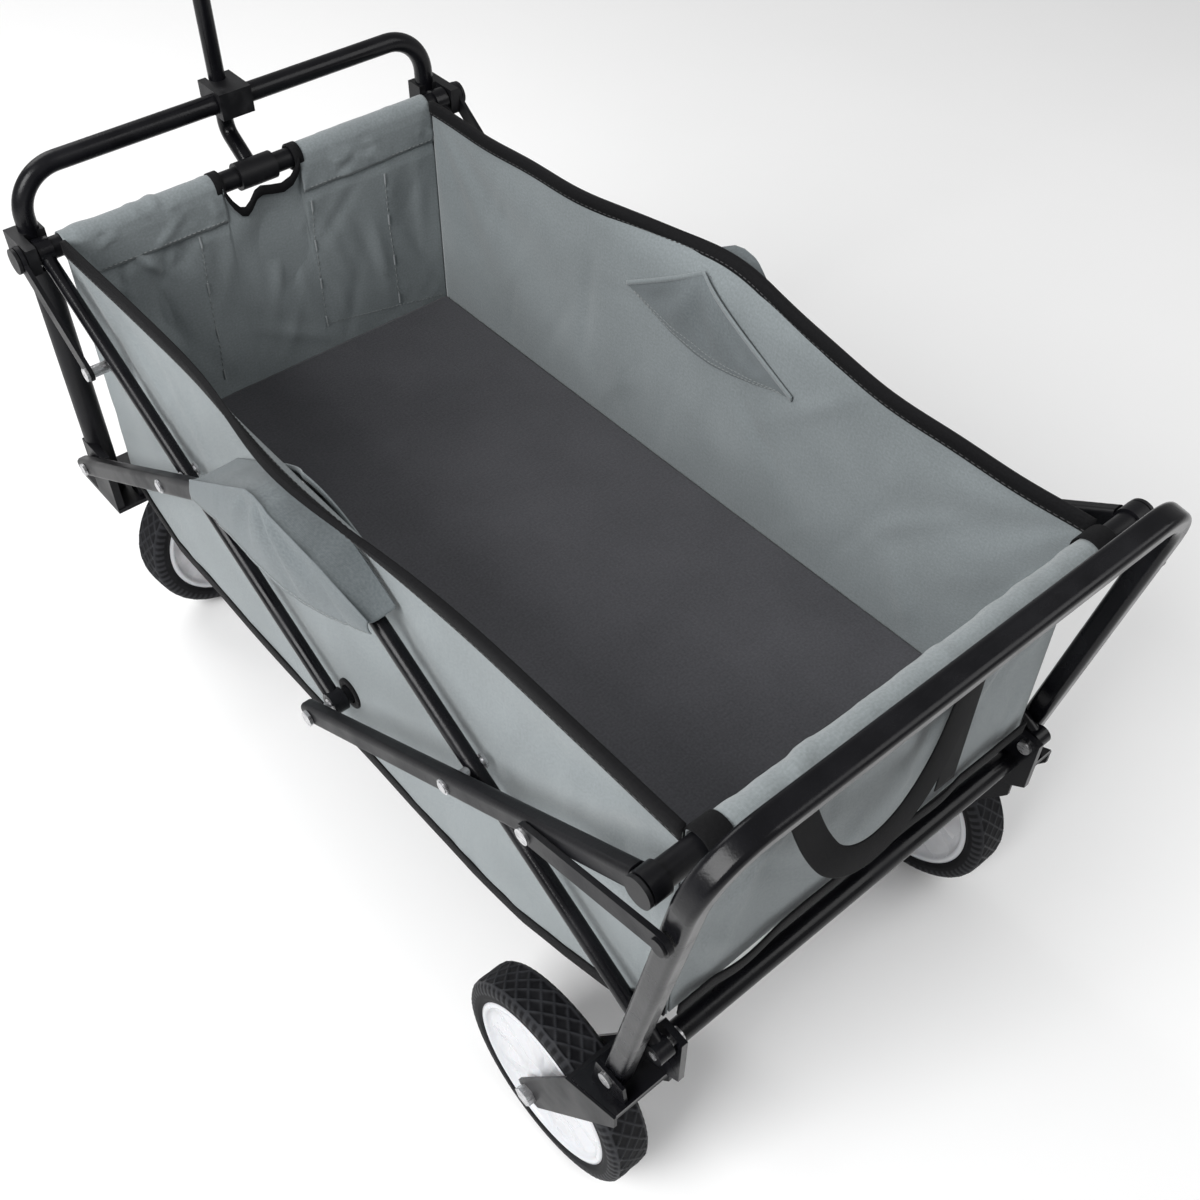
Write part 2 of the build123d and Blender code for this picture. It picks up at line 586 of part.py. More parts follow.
COVER_TOP = [(Y_MID - 120, 493), (Y_MID - 8, 561.5), (Y_MID + 8, 561.5), (Y_MID + 108, 500)]
with BuildPart() as covers:
    for side, s in SIDES:
        plate(s * 253, s * 255, [*COVER_TOP, (Y_MID + 108, 478), (Y_MID - 120, 474)])
        plate(s * 207.7, s * 253, [*COVER_TOP, *((y, z - 2) for y, z in reversed(COVER_TOP))])
save(covers.part, "pivot_covers")

with BuildPart() as floor:
    block(-CLOTH_X, CLOTH_X, Y_IN_0, Y_IN_1, FLOOR_Z, FLOOR_Z + 4)
save(floor.part, "basket_floor")

with BuildPart() as band:
    for side, s in SIDES:
        plate(s * (CLOTH_X + CLOTH_T), s * (CLOTH_X + CLOTH_T + 1.6),
              [*LOW_EDGE, *((y, z + BAND_H) for y, z in reversed(LOW_EDGE))])
save(band.part, "basket_bottom_band")

with BuildPart() as strap:
    ys0 = Y_REAR - IN_R
    for x in (-78, 78):
        block(x - 15, x + 15, ys0, ys0 + 1.6, 400, 528)
    block(-93, 93, ys0 + 1.6, ys0 + 3.2, 400, 430)
save(strap.part, "carry_strap")
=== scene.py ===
import json
import math

import bmesh
import bpy
import numpy as np
from mathutils import Matrix, Vector


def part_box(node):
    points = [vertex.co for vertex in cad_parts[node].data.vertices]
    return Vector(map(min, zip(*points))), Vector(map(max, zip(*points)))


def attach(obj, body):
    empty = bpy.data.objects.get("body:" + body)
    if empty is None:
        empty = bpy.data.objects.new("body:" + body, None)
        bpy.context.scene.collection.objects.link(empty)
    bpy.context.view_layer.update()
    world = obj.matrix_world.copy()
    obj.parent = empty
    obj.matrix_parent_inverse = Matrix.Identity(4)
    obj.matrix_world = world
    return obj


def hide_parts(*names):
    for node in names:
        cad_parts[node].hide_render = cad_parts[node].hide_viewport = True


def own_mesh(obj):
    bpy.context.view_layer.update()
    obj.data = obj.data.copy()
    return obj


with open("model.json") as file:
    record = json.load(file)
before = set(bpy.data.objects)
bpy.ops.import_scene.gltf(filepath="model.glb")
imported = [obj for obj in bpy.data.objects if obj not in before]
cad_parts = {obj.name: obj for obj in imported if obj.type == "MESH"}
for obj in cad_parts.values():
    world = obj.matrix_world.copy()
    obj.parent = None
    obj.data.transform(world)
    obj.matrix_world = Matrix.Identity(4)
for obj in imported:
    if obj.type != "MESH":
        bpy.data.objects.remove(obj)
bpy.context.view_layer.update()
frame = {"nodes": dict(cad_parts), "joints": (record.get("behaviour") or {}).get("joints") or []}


# ---- powder-coated frame tubes
# Steel tube and pressed plate, bent and welded, then powder coated black. The coat is glossy on the
# bent bars and duller on the flat-sided links, with a fine orange peel and dust on top of it.
class Value:
    """A shader socket that is added, subtracted and multiplied like a number."""

    def __init__(self, finish, socket):
        self.finish = finish
        self.socket = socket

    def math(self, operation, a, b):
        return self.finish.node("ShaderNodeMath", {"operation": operation}, a, b)

    def __add__(self, other):
        return self.math("ADD", self, other)

    def __sub__(self, other):
        return self.math("SUBTRACT", self, other)

    def __rsub__(self, other):
        return self.math("SUBTRACT", other, self)

    def __mul__(self, other):
        return self.math("MULTIPLY", self, other)

    __radd__ = __add__
    __rmul__ = __mul__


class Finish:
    """A material with one Principled shader. Constants go on its sockets, and feed() links what varies."""

    def __init__(self, name, color, roughness, **constants):
        self.material = bpy.data.materials.new(name)
        self.material.use_nodes = True
        self.tree = self.material.node_tree
        self.shader = self.tree.nodes["Principled BSDF"]
        self.shader.inputs["Base Color"].default_value = (*color, 1)
        self.shader.inputs["Roughness"].default_value = roughness
        for socket, value in constants.items():
            self.shader.inputs[socket.replace("_", " ")].default_value = value

    def node(self, kind, settings, *values, out=0, **named):
        """Adds a node, sets its settings, then its sockets by number or by name, and gives one output."""
        added = self.tree.nodes.new(kind)
        for key, value in settings.items():
            setattr(added, key, value)
        given = [(added.inputs[i], v) for i, v in enumerate(values)]
        given += [(added.inputs[k], v) for k, v in named.items()]
        for socket, value in given:
            if isinstance(value, Value):
                self.tree.links.new(value.socket, socket)
            elif value is not None:
                socket.default_value = value
        return Value(self, added.outputs[out])

    def feed(self, socket, value):
        self.tree.links.new(value.socket, self.shader.inputs[socket])

    def place(self, stretch=(1, 1, 1)):
        """Object coordinates, scaled along each axis."""
        here = self.node("ShaderNodeTexCoord", {}, out="Object")
        return self.node("ShaderNodeMapping", {}, Vector=here, Scale=stretch)

    def noise(self, where, scale, detail=3.0):
        return self.node("ShaderNodeTexNoise", {}, Vector=where, Scale=scale, Detail=detail)

    def ramp(self, value, low, high):
        """0 below low, 1 above high."""
        return self.node("ShaderNodeMapRange", {}, value, low, high)

    def tint(self, share, color_a, color_b):
        """color_a where share is 0, color_b where it is 1."""
        mix = self.node("ShaderNodeMix", {"data_type": "RGBA"}, share, out=2)
        inputs = mix.socket.node.inputs
        for socket, color in ((inputs[6], color_a), (inputs[7], color_b)):
            if isinstance(color, Value):
                self.tree.links.new(color.socket, socket)
            else:
                socket.default_value = (*color, 1)
        return mix

    def bump(self, height, strength, distance):
        self.feed("Normal", self.node("ShaderNodeBump", {}, Height=height, Strength=strength,
                                      Distance=distance))


def powder_coat(name, roughness, peel):
    """Black powder coat: a low orange peel in the bump, dust that dulls and lightens it in patches."""
    coat = Finish(name, (0.006, 0.006, 0.007), roughness, Specular_IOR_Level=0.20)
    where = coat.place()
    dust = coat.ramp(coat.noise(where, 22, 6), 0.42, 0.72)
    speck = coat.ramp(coat.noise(where, 900, 2), 0.63, 0.72)
    coat.feed("Base Color", coat.tint(dust * 0.35 + speck * 0.25,
                                      (0.003, 0.003, 0.004), (0.012, 0.012, 0.015)))
    coat.feed("Roughness", dust * 0.16 + roughness)
    coat.bump(coat.noise(where, 420, 2) * peel, 0.22, 0.0004)
    return coat.material


gloss_black = powder_coat("gloss_black_tube", 0.20, 1.0)
satin_black = powder_coat("satin_black_tube", 0.40, 1.6)


def dress(material, *names):
    """Gives CAD nodes their finish."""
    for name in names:
        mesh = frame["nodes"][name].data
        mesh.materials.clear()
        mesh.materials.append(material)


SIDES = (("left", 1), ("right", -1))
dress(gloss_black, "front_u_bar", "push_bar", "links_front_high", "link_rear_low_left",
      "link_rear_low_right", "rear_bottom_tube", "rear_brackets", "handle_lower_tube",
      "handle_upper_tube")
dress(satin_black, "front_posts", "front_brackets", "front_bottom_tube", "corner_braces",
      "middle_bottom_tube", "link_front_low_left", "link_front_low_right", "links_rear_high",
      "rear_top_tube", "front_top_tube", "rear_forks", "push_bar_strut_left", "push_bar_strut_right",
      "caster_fork_left", "caster_fork_right")

# ---- pins, rivets and bolts
# Zinc-plated steel, turned and headed. The plating is bright with a faint brushed grain and a
# little grey tarnish in patches.
zinc = Finish("zinc_plate", (0.55, 0.55, 0.56), 0.32, Metallic=1.0)
zinc_at = zinc.place((1, 1, 6))
tarnish = zinc.ramp(zinc.noise(zinc_at, 160, 5), 0.40, 0.70)
zinc.feed("Base Color", zinc.tint(tarnish, (0.62, 0.62, 0.63), (0.30, 0.30, 0.31)))
zinc.feed("Roughness", tarnish * 0.25 + 0.26)
zinc.bump(zinc.noise(zinc_at, 1500, 2), 0.15, 0.0002)
dress(zinc.material, "front_low_pins", "caster_kingpins", "front_rivets_left", "front_rivets_right",
      "link_bolts", "rear_rivets", "rear_low_pins", "rear_axles", "caster_axle_left",
      "caster_axle_right")

# ---- black moulded fittings
# Injection-moulded nylon: end caps, corner blocks, the clip, the handle's tee, collar and grip.
# The mould leaves a fine spark-eroded grain and a dull sheen.
nylon = Finish("black_nylon", (0.008, 0.008, 0.009), 0.48, Specular_IOR_Level=0.2)
nylon_at = nylon.place()
scuff = nylon.ramp(nylon.noise(nylon_at, 60, 6), 0.48, 0.72)
nylon.feed("Base Color", nylon.tint(scuff * 0.6, (0.006, 0.006, 0.007), (0.026, 0.026, 0.028)))
nylon.feed("Roughness", scuff * 0.14 + 0.44)
nylon.bump(nylon.noise(nylon_at, 2200, 2), 0.25, 0.0003)
dress(nylon.material, "front_end_caps", "rear_end_caps", "corner_blocks", "pole_clip", "handle_tee",
      "handle_collar", "handle_lock_button", "handle_grip")


# ---- wheels
# A solid rubber tyre, moulded with a diamond tread and shoulder ribs, on a white plastic hub. The
# hub's disc is dished, with shallow facets that meet in rays and a thin raised rim.
def closed_surface(name, grid, material):
    """Puts an array of points (rows, columns, 3) in a mesh; rows and columns both run round."""
    rows, columns = grid.shape[:2]
    i, j = np.meshgrid(np.arange(rows), np.arange(columns), indexing="ij")
    right, down = (i + 1) % rows, (j + 1) % columns
    faces = np.stack([i * columns + j, right * columns + j, right * columns + down, i * columns + down],
                     axis=-1).reshape(-1, 4)
    mesh = bpy.data.meshes.new(name)
    mesh.from_pydata(grid.reshape(-1, 3).tolist(), [], faces.tolist())
    piece = bpy.data.objects.new(name, mesh)
    bpy.context.collection.objects.link(piece)
    mesh.materials.append(material)
    mesh.polygons.foreach_set("use_smooth", np.ones(len(faces), bool))
    return piece


def lathe(profile, turns):
    """Points (distance along the axle, radius) carried round it in equal turns."""
    angle = np.linspace(0, 2 * math.pi, turns, endpoint=False)
    along, radius = profile[:, 0], profile[:, 1]
    return angle[:, None], along[None, :] + 0 * angle[:, None], radius[None, :] + 0 * angle[:, None]


def on_axle(centre, axle, angle, along, radius):
    """Places lathe points: centre + along * axle + radius * (cos angle across, sin angle up)."""
    axle = np.array(axle) / np.linalg.norm(axle)
    up = np.array([0, 0, 1.0])
    across = np.cross(up, axle)
    return (np.array(centre) + along[..., None] * axle
            + radius[..., None] * (np.cos(angle)[..., None] * across + np.sin(angle)[..., None] * up))


def dense(points, step):
    """The polyline through the points, divided into lengths of about step."""
    points = np.array(points, float)
    parts = []
    for a, b in zip(points[:-1], points[1:]):
        count = max(1, int(round(np.linalg.norm(b - a) / step)))
        parts.append(a + (b - a) * np.linspace(0, 1, count, endpoint=False)[:, None])
    return np.concatenate(parts + [points[-1:]])


TYRE_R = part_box("rear_tyre_left")[1][2] / 2
TYRE_HALF = (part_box("rear_tyre_left")[1][0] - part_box("rear_tyre_left")[0][0]) / 2
HUB_EDGE = 0.082

rubber = Finish("tyre_rubber", (0.006, 0.006, 0.007), 0.60, Specular_IOR_Level=0.12)
rubber_at = rubber.place()
chalk = rubber.ramp(rubber.noise(rubber_at, 45, 6), 0.45, 0.75)
raised = rubber.node("ShaderNodeAttribute", {"attribute_name": "raised"}, out="Fac")
rubber.feed("Base Color", rubber.tint(raised * 0.75 + chalk * 0.35,
                                      (0.004, 0.004, 0.005), (0.030, 0.031, 0.035)))
rubber.feed("Roughness", 0.62 - raised * 0.14 + chalk * 0.1)
rubber.bump(rubber.noise(rubber_at, 1400, 2), 0.2, 0.0003)


def tyre(name, centre, axle):
    """A ring: flat tread with crossing ridges raised 1.2 mm, round shoulders with short ribs, and
    side walls down to the hub. Ridge height is the larger of two slanted waves, sharpened."""
    depth = 0.0012
    r0, h = TYRE_R - depth, TYRE_HALF
    outer = dense([(-h + 0.002, HUB_EDGE), (-h, HUB_EDGE + 0.004), (-h, r0 - 0.0075),
                   (-h + 0.0015, r0 - 0.0035),
                   (-h + 0.005, r0 - 0.0008), (-h + 0.010, r0), (h - 0.010, r0), (h - 0.005, r0 - 0.0008),
                   (h - 0.0015, r0 - 0.0035), (h, r0 - 0.0075), (h, HUB_EDGE + 0.004),
                   (h - 0.002, HUB_EDGE)], 0.0011)
    inner = dense([(h - 0.002, HUB_EDGE - 0.0006), (-h + 0.002, HUB_EDGE - 0.0006)], 0.006)
    profile = np.concatenate([outer, inner])
    angle, along, radius = lathe(profile, 432)
    blocks = 36
    slant = along / h * 1.5
    one = np.abs(np.cos(blocks / 2 * angle + slant * math.pi))
    two = np.abs(np.cos(blocks / 2 * angle - slant * math.pi))
    cross = np.clip((np.maximum(one, two) - 0.955) / 0.03, 0, 1)
    ribs = np.clip((np.abs(np.cos(blocks * angle)) - 0.72) / 0.1, 0, 1)
    tread = np.clip((h - 0.0035 - np.abs(along)) / 0.001, 0, 1) * (radius > r0 - 0.003)
    shoulder = np.clip((np.abs(along) - h + 0.0048) / 0.001, 0, 1)
    shoulder = (radius > r0 - 0.011) * shoulder * (radius < r0 - 0.0004)
    edge_line = np.exp(-((np.abs(along) - h + 0.0045) / 0.0009) ** 2) * (radius > r0 - 0.003)
    height = np.maximum(np.maximum(cross * tread, ribs * shoulder * 0.8), edge_line)
    side = np.clip((np.abs(along) - h + 0.0035) / 0.002, 0, 1)
    grown = radius + depth * height * (1 - 0.6 * side)
    piece = closed_surface(name, on_axle(centre, axle, angle, along, grown), rubber.material)
    lift = piece.data.attributes.new("raised", "FLOAT", "POINT")
    lift.data.foreach_set("value", height.astype(np.float32).ravel())
    return piece


white = Finish("white_hub_plastic", (0.80, 0.80, 0.79), 0.30, Subsurface_Weight=0.05)
white_at = white.place()
grime = white.ramp(white.noise(white_at, 30, 6), 0.50, 0.80)
white.feed("Base Color", white.tint(grime * 0.5, (0.56, 0.565, 0.585), (0.42, 0.42, 0.43)))
white.feed("Roughness", grime * 0.2 + 0.27)
white.bump(white.noise(white_at, 700, 2), 0.08, 0.0003)


def hub(name, centre, axle):
    """A dished disc: each face falls from the rim to a shallow ring and rises to the boss, and ten
    facets make it wave by up to 1.4 mm, with a crease where two facets meet."""
    h = TYRE_HALF
    bore, boss = 0.0061, 0.0155
    half = dense([(h + 0.001, bore), (h + 0.001, boss - 0.001), (h, boss), (h - 0.004, boss + 0.0015),
                  (h - 0.0055, 0.030), (h - 0.0065, 0.050), (h - 0.0062, 0.068), (h - 0.0050, 0.0735),
                  (h - 0.0022, 0.0752), (h - 0.0006, 0.0762), (h - 0.0004, 0.0785),
                  (h - 0.0016, HUB_EDGE - 0.0006)], 0.0022)
    back = half[::-1] * np.array([-1, 1])
    bore_line = dense([(-h - 0.001, bore), (h + 0.001, bore)], 0.008)[1:-1]
    profile = np.concatenate([half, back, bore_line])
    angle, along, radius = lathe(profile, 240)
    facet = np.abs(((angle * 10 / (2 * math.pi)) % 1.0) - 0.5) * 2
    on_disc = np.clip((radius - 0.019) / 0.012, 0, 1) * np.clip((0.0735 - radius) / 0.004, 0, 1)
    dish = on_disc * (facet - 0.5) * 0.0028 * np.clip(radius / 0.06, 0, 1)
    along = along + np.sign(along) * dish * (np.abs(along) > h * 0.5)
    return closed_surface(name, on_axle(centre, axle, angle, along, radius), white.material)


def outwards(piece):
    """Turns the faces of a closed piece to point out."""
    shell = bmesh.new()
    shell.from_mesh(piece.data)
    bmesh.ops.recalc_face_normals(shell, faces=shell.faces)
    shell.to_mesh(piece.data)
    shell.free()


axles = {j["name"]: j for j in frame["joints"]}
for end in ("front", "rear"):
    for side, s in SIDES:
        turning = axles[f"{end}_wheel_{side}_spin"]
        body = f"{end}_wheel_{side}"
        for make, part, slot in ((tyre, "tyre", "tyre_rubber"), (hub, "hub", "white_plastic")):
            piece = make(f"{end}_{part}_{side}_moulded", turning["pos_m"], turning["axis"])
            outwards(piece)
            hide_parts(f"{end}_{part}_{side}")
            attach(piece, body)


# ---- the tub's cloth
# Coated polyester, cut in panels and sewn: two long sides, two ends with sleeves for the top tubes,
# and a charcoal bottom with a stiff board in it. The cloth is drawn tight, so its creases are shallow.
Y_FRONT = (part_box("front_top_tube")[0][1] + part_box("front_top_tube")[1][1]) / 2
Y_REAR = (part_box("rear_top_tube")[0][1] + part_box("rear_top_tube")[1][1]) / 2
Y_MID = (Y_FRONT + Y_REAR) / 2
Z_TOP = (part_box("front_top_tube")[0][2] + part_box("front_top_tube")[1][2]) / 2
X_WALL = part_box("basket_left_wall")[0][0]
Z_FLOOR, Z_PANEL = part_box("basket_floor")[0][2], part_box("basket_floor")[1][2]
Z_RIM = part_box("rim_bindings")[1][2]
Y_IN_0, Y_IN_1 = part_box("basket_floor")[0][1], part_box("basket_floor")[1][1]
CLOTH = 0.0012            # thickness of the coated cloth


def cloth_finish(name, dark, light, thread, sheen):
    """Woven cloth on its own UV map in metres: two crossing waves for the threads, a slub along each
    direction, a blotchy wear of the coating, and a soft sheen."""
    cloth = Finish(name, light, 0.80, Sheen_Weight=sheen, Sheen_Roughness=0.45, Specular_IOR_Level=0.12)
    uv = cloth.node("ShaderNodeUVMap", {"uv_map": "cloth"})
    u = cloth.node("ShaderNodeSeparateXYZ", {}, uv, out=0)
    v = cloth.node("ShaderNodeSeparateXYZ", {}, uv, out=1)
    turn = 2 * math.pi / thread
    warp = cloth.node("ShaderNodeMath", {"operation": "SINE"}, (u + v) * turn)
    weft = cloth.node("ShaderNodeMath", {"operation": "SINE"}, (u - v) * turn)
    weave = warp * weft
    stretched = cloth.node("ShaderNodeMapping", {}, Vector=uv, Scale=(30, 900, 1))
    crossed = cloth.node("ShaderNodeMapping", {}, Vector=uv, Scale=(900, 30, 1))
    slub = cloth.noise(stretched, 1.0, 2) + cloth.noise(crossed, 1.0, 2)
    blotch = cloth.ramp(cloth.noise(uv, 9, 6), 0.35, 0.70)
    speck = cloth.ramp(cloth.noise(uv, 420, 3), 0.35, 0.70)
    share = blotch * 0.30 + speck * 0.40 + slub * 0.25 + weave * 0.12
    cloth.feed("Base Color", cloth.tint(share, dark, light))
    cloth.feed("Roughness", blotch * 0.12 + 0.70)
    cloth.bump(weave * 0.6 + slub * 0.7 + cloth.noise(uv, 45, 4) * 1.6, 0.35, 0.0008)
    return cloth.material


grey_cloth = cloth_finish("grey_polyester", (0.152, 0.171, 0.176), (0.262, 0.291, 0.302),
                          0.0016, 0.25)
# Painted shade: a darker copy of the grey cloth for the pivot gussets, which are the same cloth as the
# walls.
painted_shade_cloth = cloth_finish("grey_polyester_painted_shade", (0.105, 0.119, 0.124), (0.190, 0.213, 0.223),
                           0.0016, 0.12)
# Painted light: a lighter copy of the grey cloth for the rear sleeve, whose top faces the lamps.
painted_light_cloth = cloth_finish("grey_polyester_painted_light", (0.175, 0.196, 0.201), (0.290, 0.320, 0.330),
                          0.0016, 0.3)
dark_cloth = cloth_finish("charcoal_polyester", (0.048, 0.048, 0.053), (0.100, 0.100, 0.110),
                          0.0018, 0.15)
tape_cloth = cloth_finish("black_tape", (0.002, 0.002, 0.0024), (0.009, 0.009, 0.010), 0.0014, 0.02)


def panel(name, grid, flat_uv, material, thickness, opening=None):
    """A sheet from an array of points (rows, columns, 3), with UVs in metres and its real thickness.
    Faces whose corner is marked in opening are left out."""
    rows, columns = grid.shape[:2]
    i, j = np.meshgrid(np.arange(rows - 1), np.arange(columns - 1), indexing="ij")
    a = i * columns + j
    faces = np.stack([a, a + columns, a + columns + 1, a + 1], axis=-1).reshape(-1, 4)
    if opening is not None:
        faces = faces[~opening.ravel()[faces].any(axis=1)]
    mesh = bpy.data.meshes.new(name)
    mesh.from_pydata(grid.reshape(-1, 3).tolist(), [], faces.tolist())
    layer = mesh.uv_layers.new(name="cloth")
    layer.data.foreach_set("uv", flat_uv.reshape(-1, 2)[faces.ravel()].astype(np.float32).ravel())
    mesh.polygons.foreach_set("use_smooth", np.ones(len(faces), bool))
    mesh.materials.append(material)
    piece = bpy.data.objects.new(name, mesh)
    bpy.context.collection.objects.link(piece)
    wall = piece.modifiers.new("thickness", "SOLIDIFY")
    wall.thickness = thickness
    wall.offset = 0
    return piece


def laid_out(grid):
    """UVs in metres: distance along each row and each column, measured on the middle ones."""
    rows, columns = grid.shape[:2]
    down = np.linalg.norm(np.diff(grid[:, columns // 2], axis=0), axis=1)
    over = np.linalg.norm(np.diff(grid[rows // 2], axis=0), axis=1)
    u = np.concatenate([[0], np.cumsum(down)])
    v = np.concatenate([[0], np.cumsum(over)])
    return np.stack(np.meshgrid(u, v, indexing="ij"), axis=-1)


def creases(p, q, seed, count, length, width, height):
    """Sum of small ridges: each has a middle, a direction, a length and a width, all drawn from the
    seed, and falls off as exp(-across²/width² - along²/length²)."""
    draw = np.random.default_rng(seed)
    total = np.zeros_like(p)
    middles = (draw.uniform(p.min(), p.max(), count), draw.uniform(q.min(), q.max(), count))
    turns, signs = draw.normal(0, 0.5, count) + math.pi / 2, draw.uniform(-1, 1, count)
    for middle_p, middle_q, turn, sign in zip(*middles, turns, signs):
        along = (p - middle_p) * math.cos(turn) + (q - middle_q) * math.sin(turn)
        beside = -(p - middle_p) * math.sin(turn) + (q - middle_q) * math.cos(turn)
        total += sign * height * np.exp(-(beside / width) ** 2 - (along / length) ** 2)
    return total


def fastened(piece):
    """Cloth rides with the front top tube, on a mesh of its own."""
    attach(piece, "front_top")
    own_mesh(piece)


def stitches(name, route, outward, pitch=0.0052, stitch=0.0036, thread=0.00042, colour=None):
    """Thread lying on the cloth: short six-sided spindles, one each pitch along the route, fat in the
    middle and sunk at the ends."""
    route, outward = np.array(route, float), np.array(outward, float)
    run = np.concatenate([[0], np.cumsum(np.linalg.norm(np.diff(route, axis=0), axis=1))])
    starts = np.arange(pitch / 2, run[-1] - pitch / 2, pitch)
    t = np.array([-0.5, -0.25, 0.25, 0.5])
    fat = np.array([0.45, 1.0, 1.0, 0.45]) * thread
    lift = np.array([-0.5, 0.35, 0.35, -0.5]) * thread
    ring = np.linspace(0, 2 * math.pi, 6, endpoint=False)
    s = starts[:, None] + t[None, :] * stitch
    centre = np.stack([np.interp(s, run, route[:, k]) for k in range(3)], axis=-1)
    normal = np.stack([np.interp(s, run, outward[:, k]) for k in range(3)], axis=-1)
    normal /= np.linalg.norm(normal, axis=-1, keepdims=True)
    along = centre[:, -1] - centre[:, 0]
    along /= np.linalg.norm(along, axis=-1, keepdims=True)
    beside = np.cross(normal, along[:, None, :])
    lift, fat = lift[None, :, None, None], fat[None, :, None, None]
    sine, cosine = np.sin(ring)[None, None, :, None], np.cos(ring)[None, None, :, None]
    points = (centre[:, :, None] + normal[:, :, None] * (lift + fat * sine)
              + beside[:, :, None] * fat * cosine)
    a = np.arange(6)
    b = (a + 1) % 6
    tube = np.concatenate([np.stack([k * 6 + a, k * 6 + b, k * 6 + 6 + b, k * 6 + 6 + a], axis=-1)
                           for k in range(3)])
    count = len(starts)
    quads = (tube[None] + 24 * np.arange(count)[:, None, None]).reshape(-1, 4).tolist()
    ends = [[24 * n + k for k in range(5, -1, -1)] for n in range(count)]
    ends += [[24 * n + 18 + k for k in range(6)] for n in range(count)]
    mesh = bpy.data.meshes.new(name)
    mesh.from_pydata(points.reshape(-1, 3).tolist(), [], quads + ends)
    mesh.materials.append(colour or thread_grey.material)
    piece = bpy.data.objects.new(name, mesh)
    bpy.context.collection.objects.link(piece)
    return piece


thread_grey = Finish("grey_thread", (0.20, 0.215, 0.215), 0.6)
twist = thread_grey.noise(thread_grey.place(), 1800, 2)
thread_grey.feed("Base Color", thread_grey.tint(twist, (0.10, 0.11, 0.11), (0.34, 0.36, 0.36)))
thread_pale = Finish("pale_thread", (0.34, 0.36, 0.365), 0.6)
pale_twist = thread_pale.noise(thread_pale.place(), 1800, 2)
thread_pale.feed("Base Color", thread_pale.tint(pale_twist, (0.17, 0.185, 0.19), (0.34, 0.36, 0.37)))
thread_black = Finish("black_thread", (0.02, 0.02, 0.02), 0.6)
black_twist = thread_black.noise(thread_black.place(), 1800, 2)
thread_black.feed("Base Color", thread_black.tint(black_twist, (0.012, 0.012, 0.013), (0.07, 0.07, 0.072)))

SEAM_UP = 0.034          # from the top tube's middle down to the sleeve's seam
WALL_TOP = Z_RIM - 0.006


RIM_OUT = 0.0225          # how far the rim leans out over the middle pivot
RIM_RISE = 0.0155         # and how far it rises there


def over_pivot(y):
    """How far the rim leans out to pass over the middle pivot: 1 there, near 0 at 250 mm from it."""
    return np.exp(-((y - Y_MID) / 0.125) ** 2)


def bow(y, z):
    """How far the wall itself follows the rim outward, most of it in the last 15 mm."""
    top = WALL_TOP + RIM_RISE * over_pivot(y)
    return RIM_OUT * over_pivot(y) * np.clip((z - 0.485) / (top - 0.485), 0, 1) ** 6


def lower_edge(y):
    """Height of the side cloth's lower edge: it hangs 90 mm below the floor between the wheels and
    rises to the floor at both ends."""
    places = Y_FRONT + np.array([0.012, 0.050, 0.095, 0.300, 0.600, 0.670, 0.725, 0.780, 0.806, 0.812, 0.9])
    heights = np.array([0.277, 0.248, 0.225, 0.216, 0.219, 0.228, 0.246, 0.270, 0.292, 0.315, 0.315])
    return np.interp(y, places, heights)


def side_wall(s):
    """A side: x is the wall's plane with a hollow of 2 mm between rim and floor, pulls that fan from
    the two top corners, shallow creases that calm behind the inner leaf, and the bow over the middle
    pivot. Below the floor it flares out by 1.2 mm."""
    y = np.linspace(Y_IN_0, Y_IN_1, 320)[:, None] + np.zeros((1, 120))
    share = np.linspace(0, 1, 120)[None, :] + np.zeros((320, 1))
    low = lower_edge(y)
    z = low + share * (WALL_TOP + RIM_RISE * over_pivot(y) - low)
    up = np.clip((z - Z_FLOOR) / (WALL_TOP - Z_FLOOR), 0, 1)
    hold = np.sin(math.pi * up) ** 0.7
    skirt = np.clip((Z_FLOOR - z) / 0.06, 0, 1)
    hollow = -0.0022 * hold * np.sin(math.pi * (y - Y_IN_0) / (Y_IN_1 - Y_IN_0))
    fan = 0
    for corner_y, sign in ((Y_IN_0, 1), (Y_IN_1, -1)):
        away = np.hypot(y - corner_y, z - WALL_TOP)
        angle = np.arctan2(WALL_TOP - z, sign * (y - corner_y))
        fan = fan + 0.0024 * np.cos(angle * 11) * np.exp(-((away - 0.12) / 0.10) ** 2)
    small = creases(y, z, 11 + s, 60, 0.07, 0.010, 0.0024)
    broad = creases(y, z, 31 + s, 14, 0.12, 0.035, 0.0034)
    calm = 1 - np.exp(-((y - 0.026) / 0.095) ** 4 - ((z - 0.500) / 0.045) ** 4)
    x = X_WALL + 0.001 + hollow + (fan + small + broad) * calm * (hold + 0.5 * skirt) + 0.0012 * skirt
    x = np.clip(x, X_WALL - 0.0060, X_WALL + 0.0030) + bow(y, z)
    return np.stack([s * x, y, z], axis=-1)


MID_TUBE = ((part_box("middle_bottom_tube")[0][1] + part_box("middle_bottom_tube")[1][1]) / 2,
            (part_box("middle_bottom_tube")[0][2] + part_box("middle_bottom_tube")[1][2]) / 2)
for side, s in SIDES:
    grid = side_wall(s)
    tube_hole = np.hypot(grid[..., 1] - MID_TUBE[0], grid[..., 2] - MID_TUBE[1]) < 0.0102
    wall = panel(f"side_cloth_{side}", grid, laid_out(grid), grey_cloth, CLOTH, tube_hole)
    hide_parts(f"basket_{side}_wall")
    fastened(wall)

# ---- end walls with their sleeves
# Each end panel hangs from its top tube by a sleeve sewn round it. The front sleeve is open in the
# middle for the handle's tee, bound with black tape, and the hem there droops.
GAP_HALF = 0.043


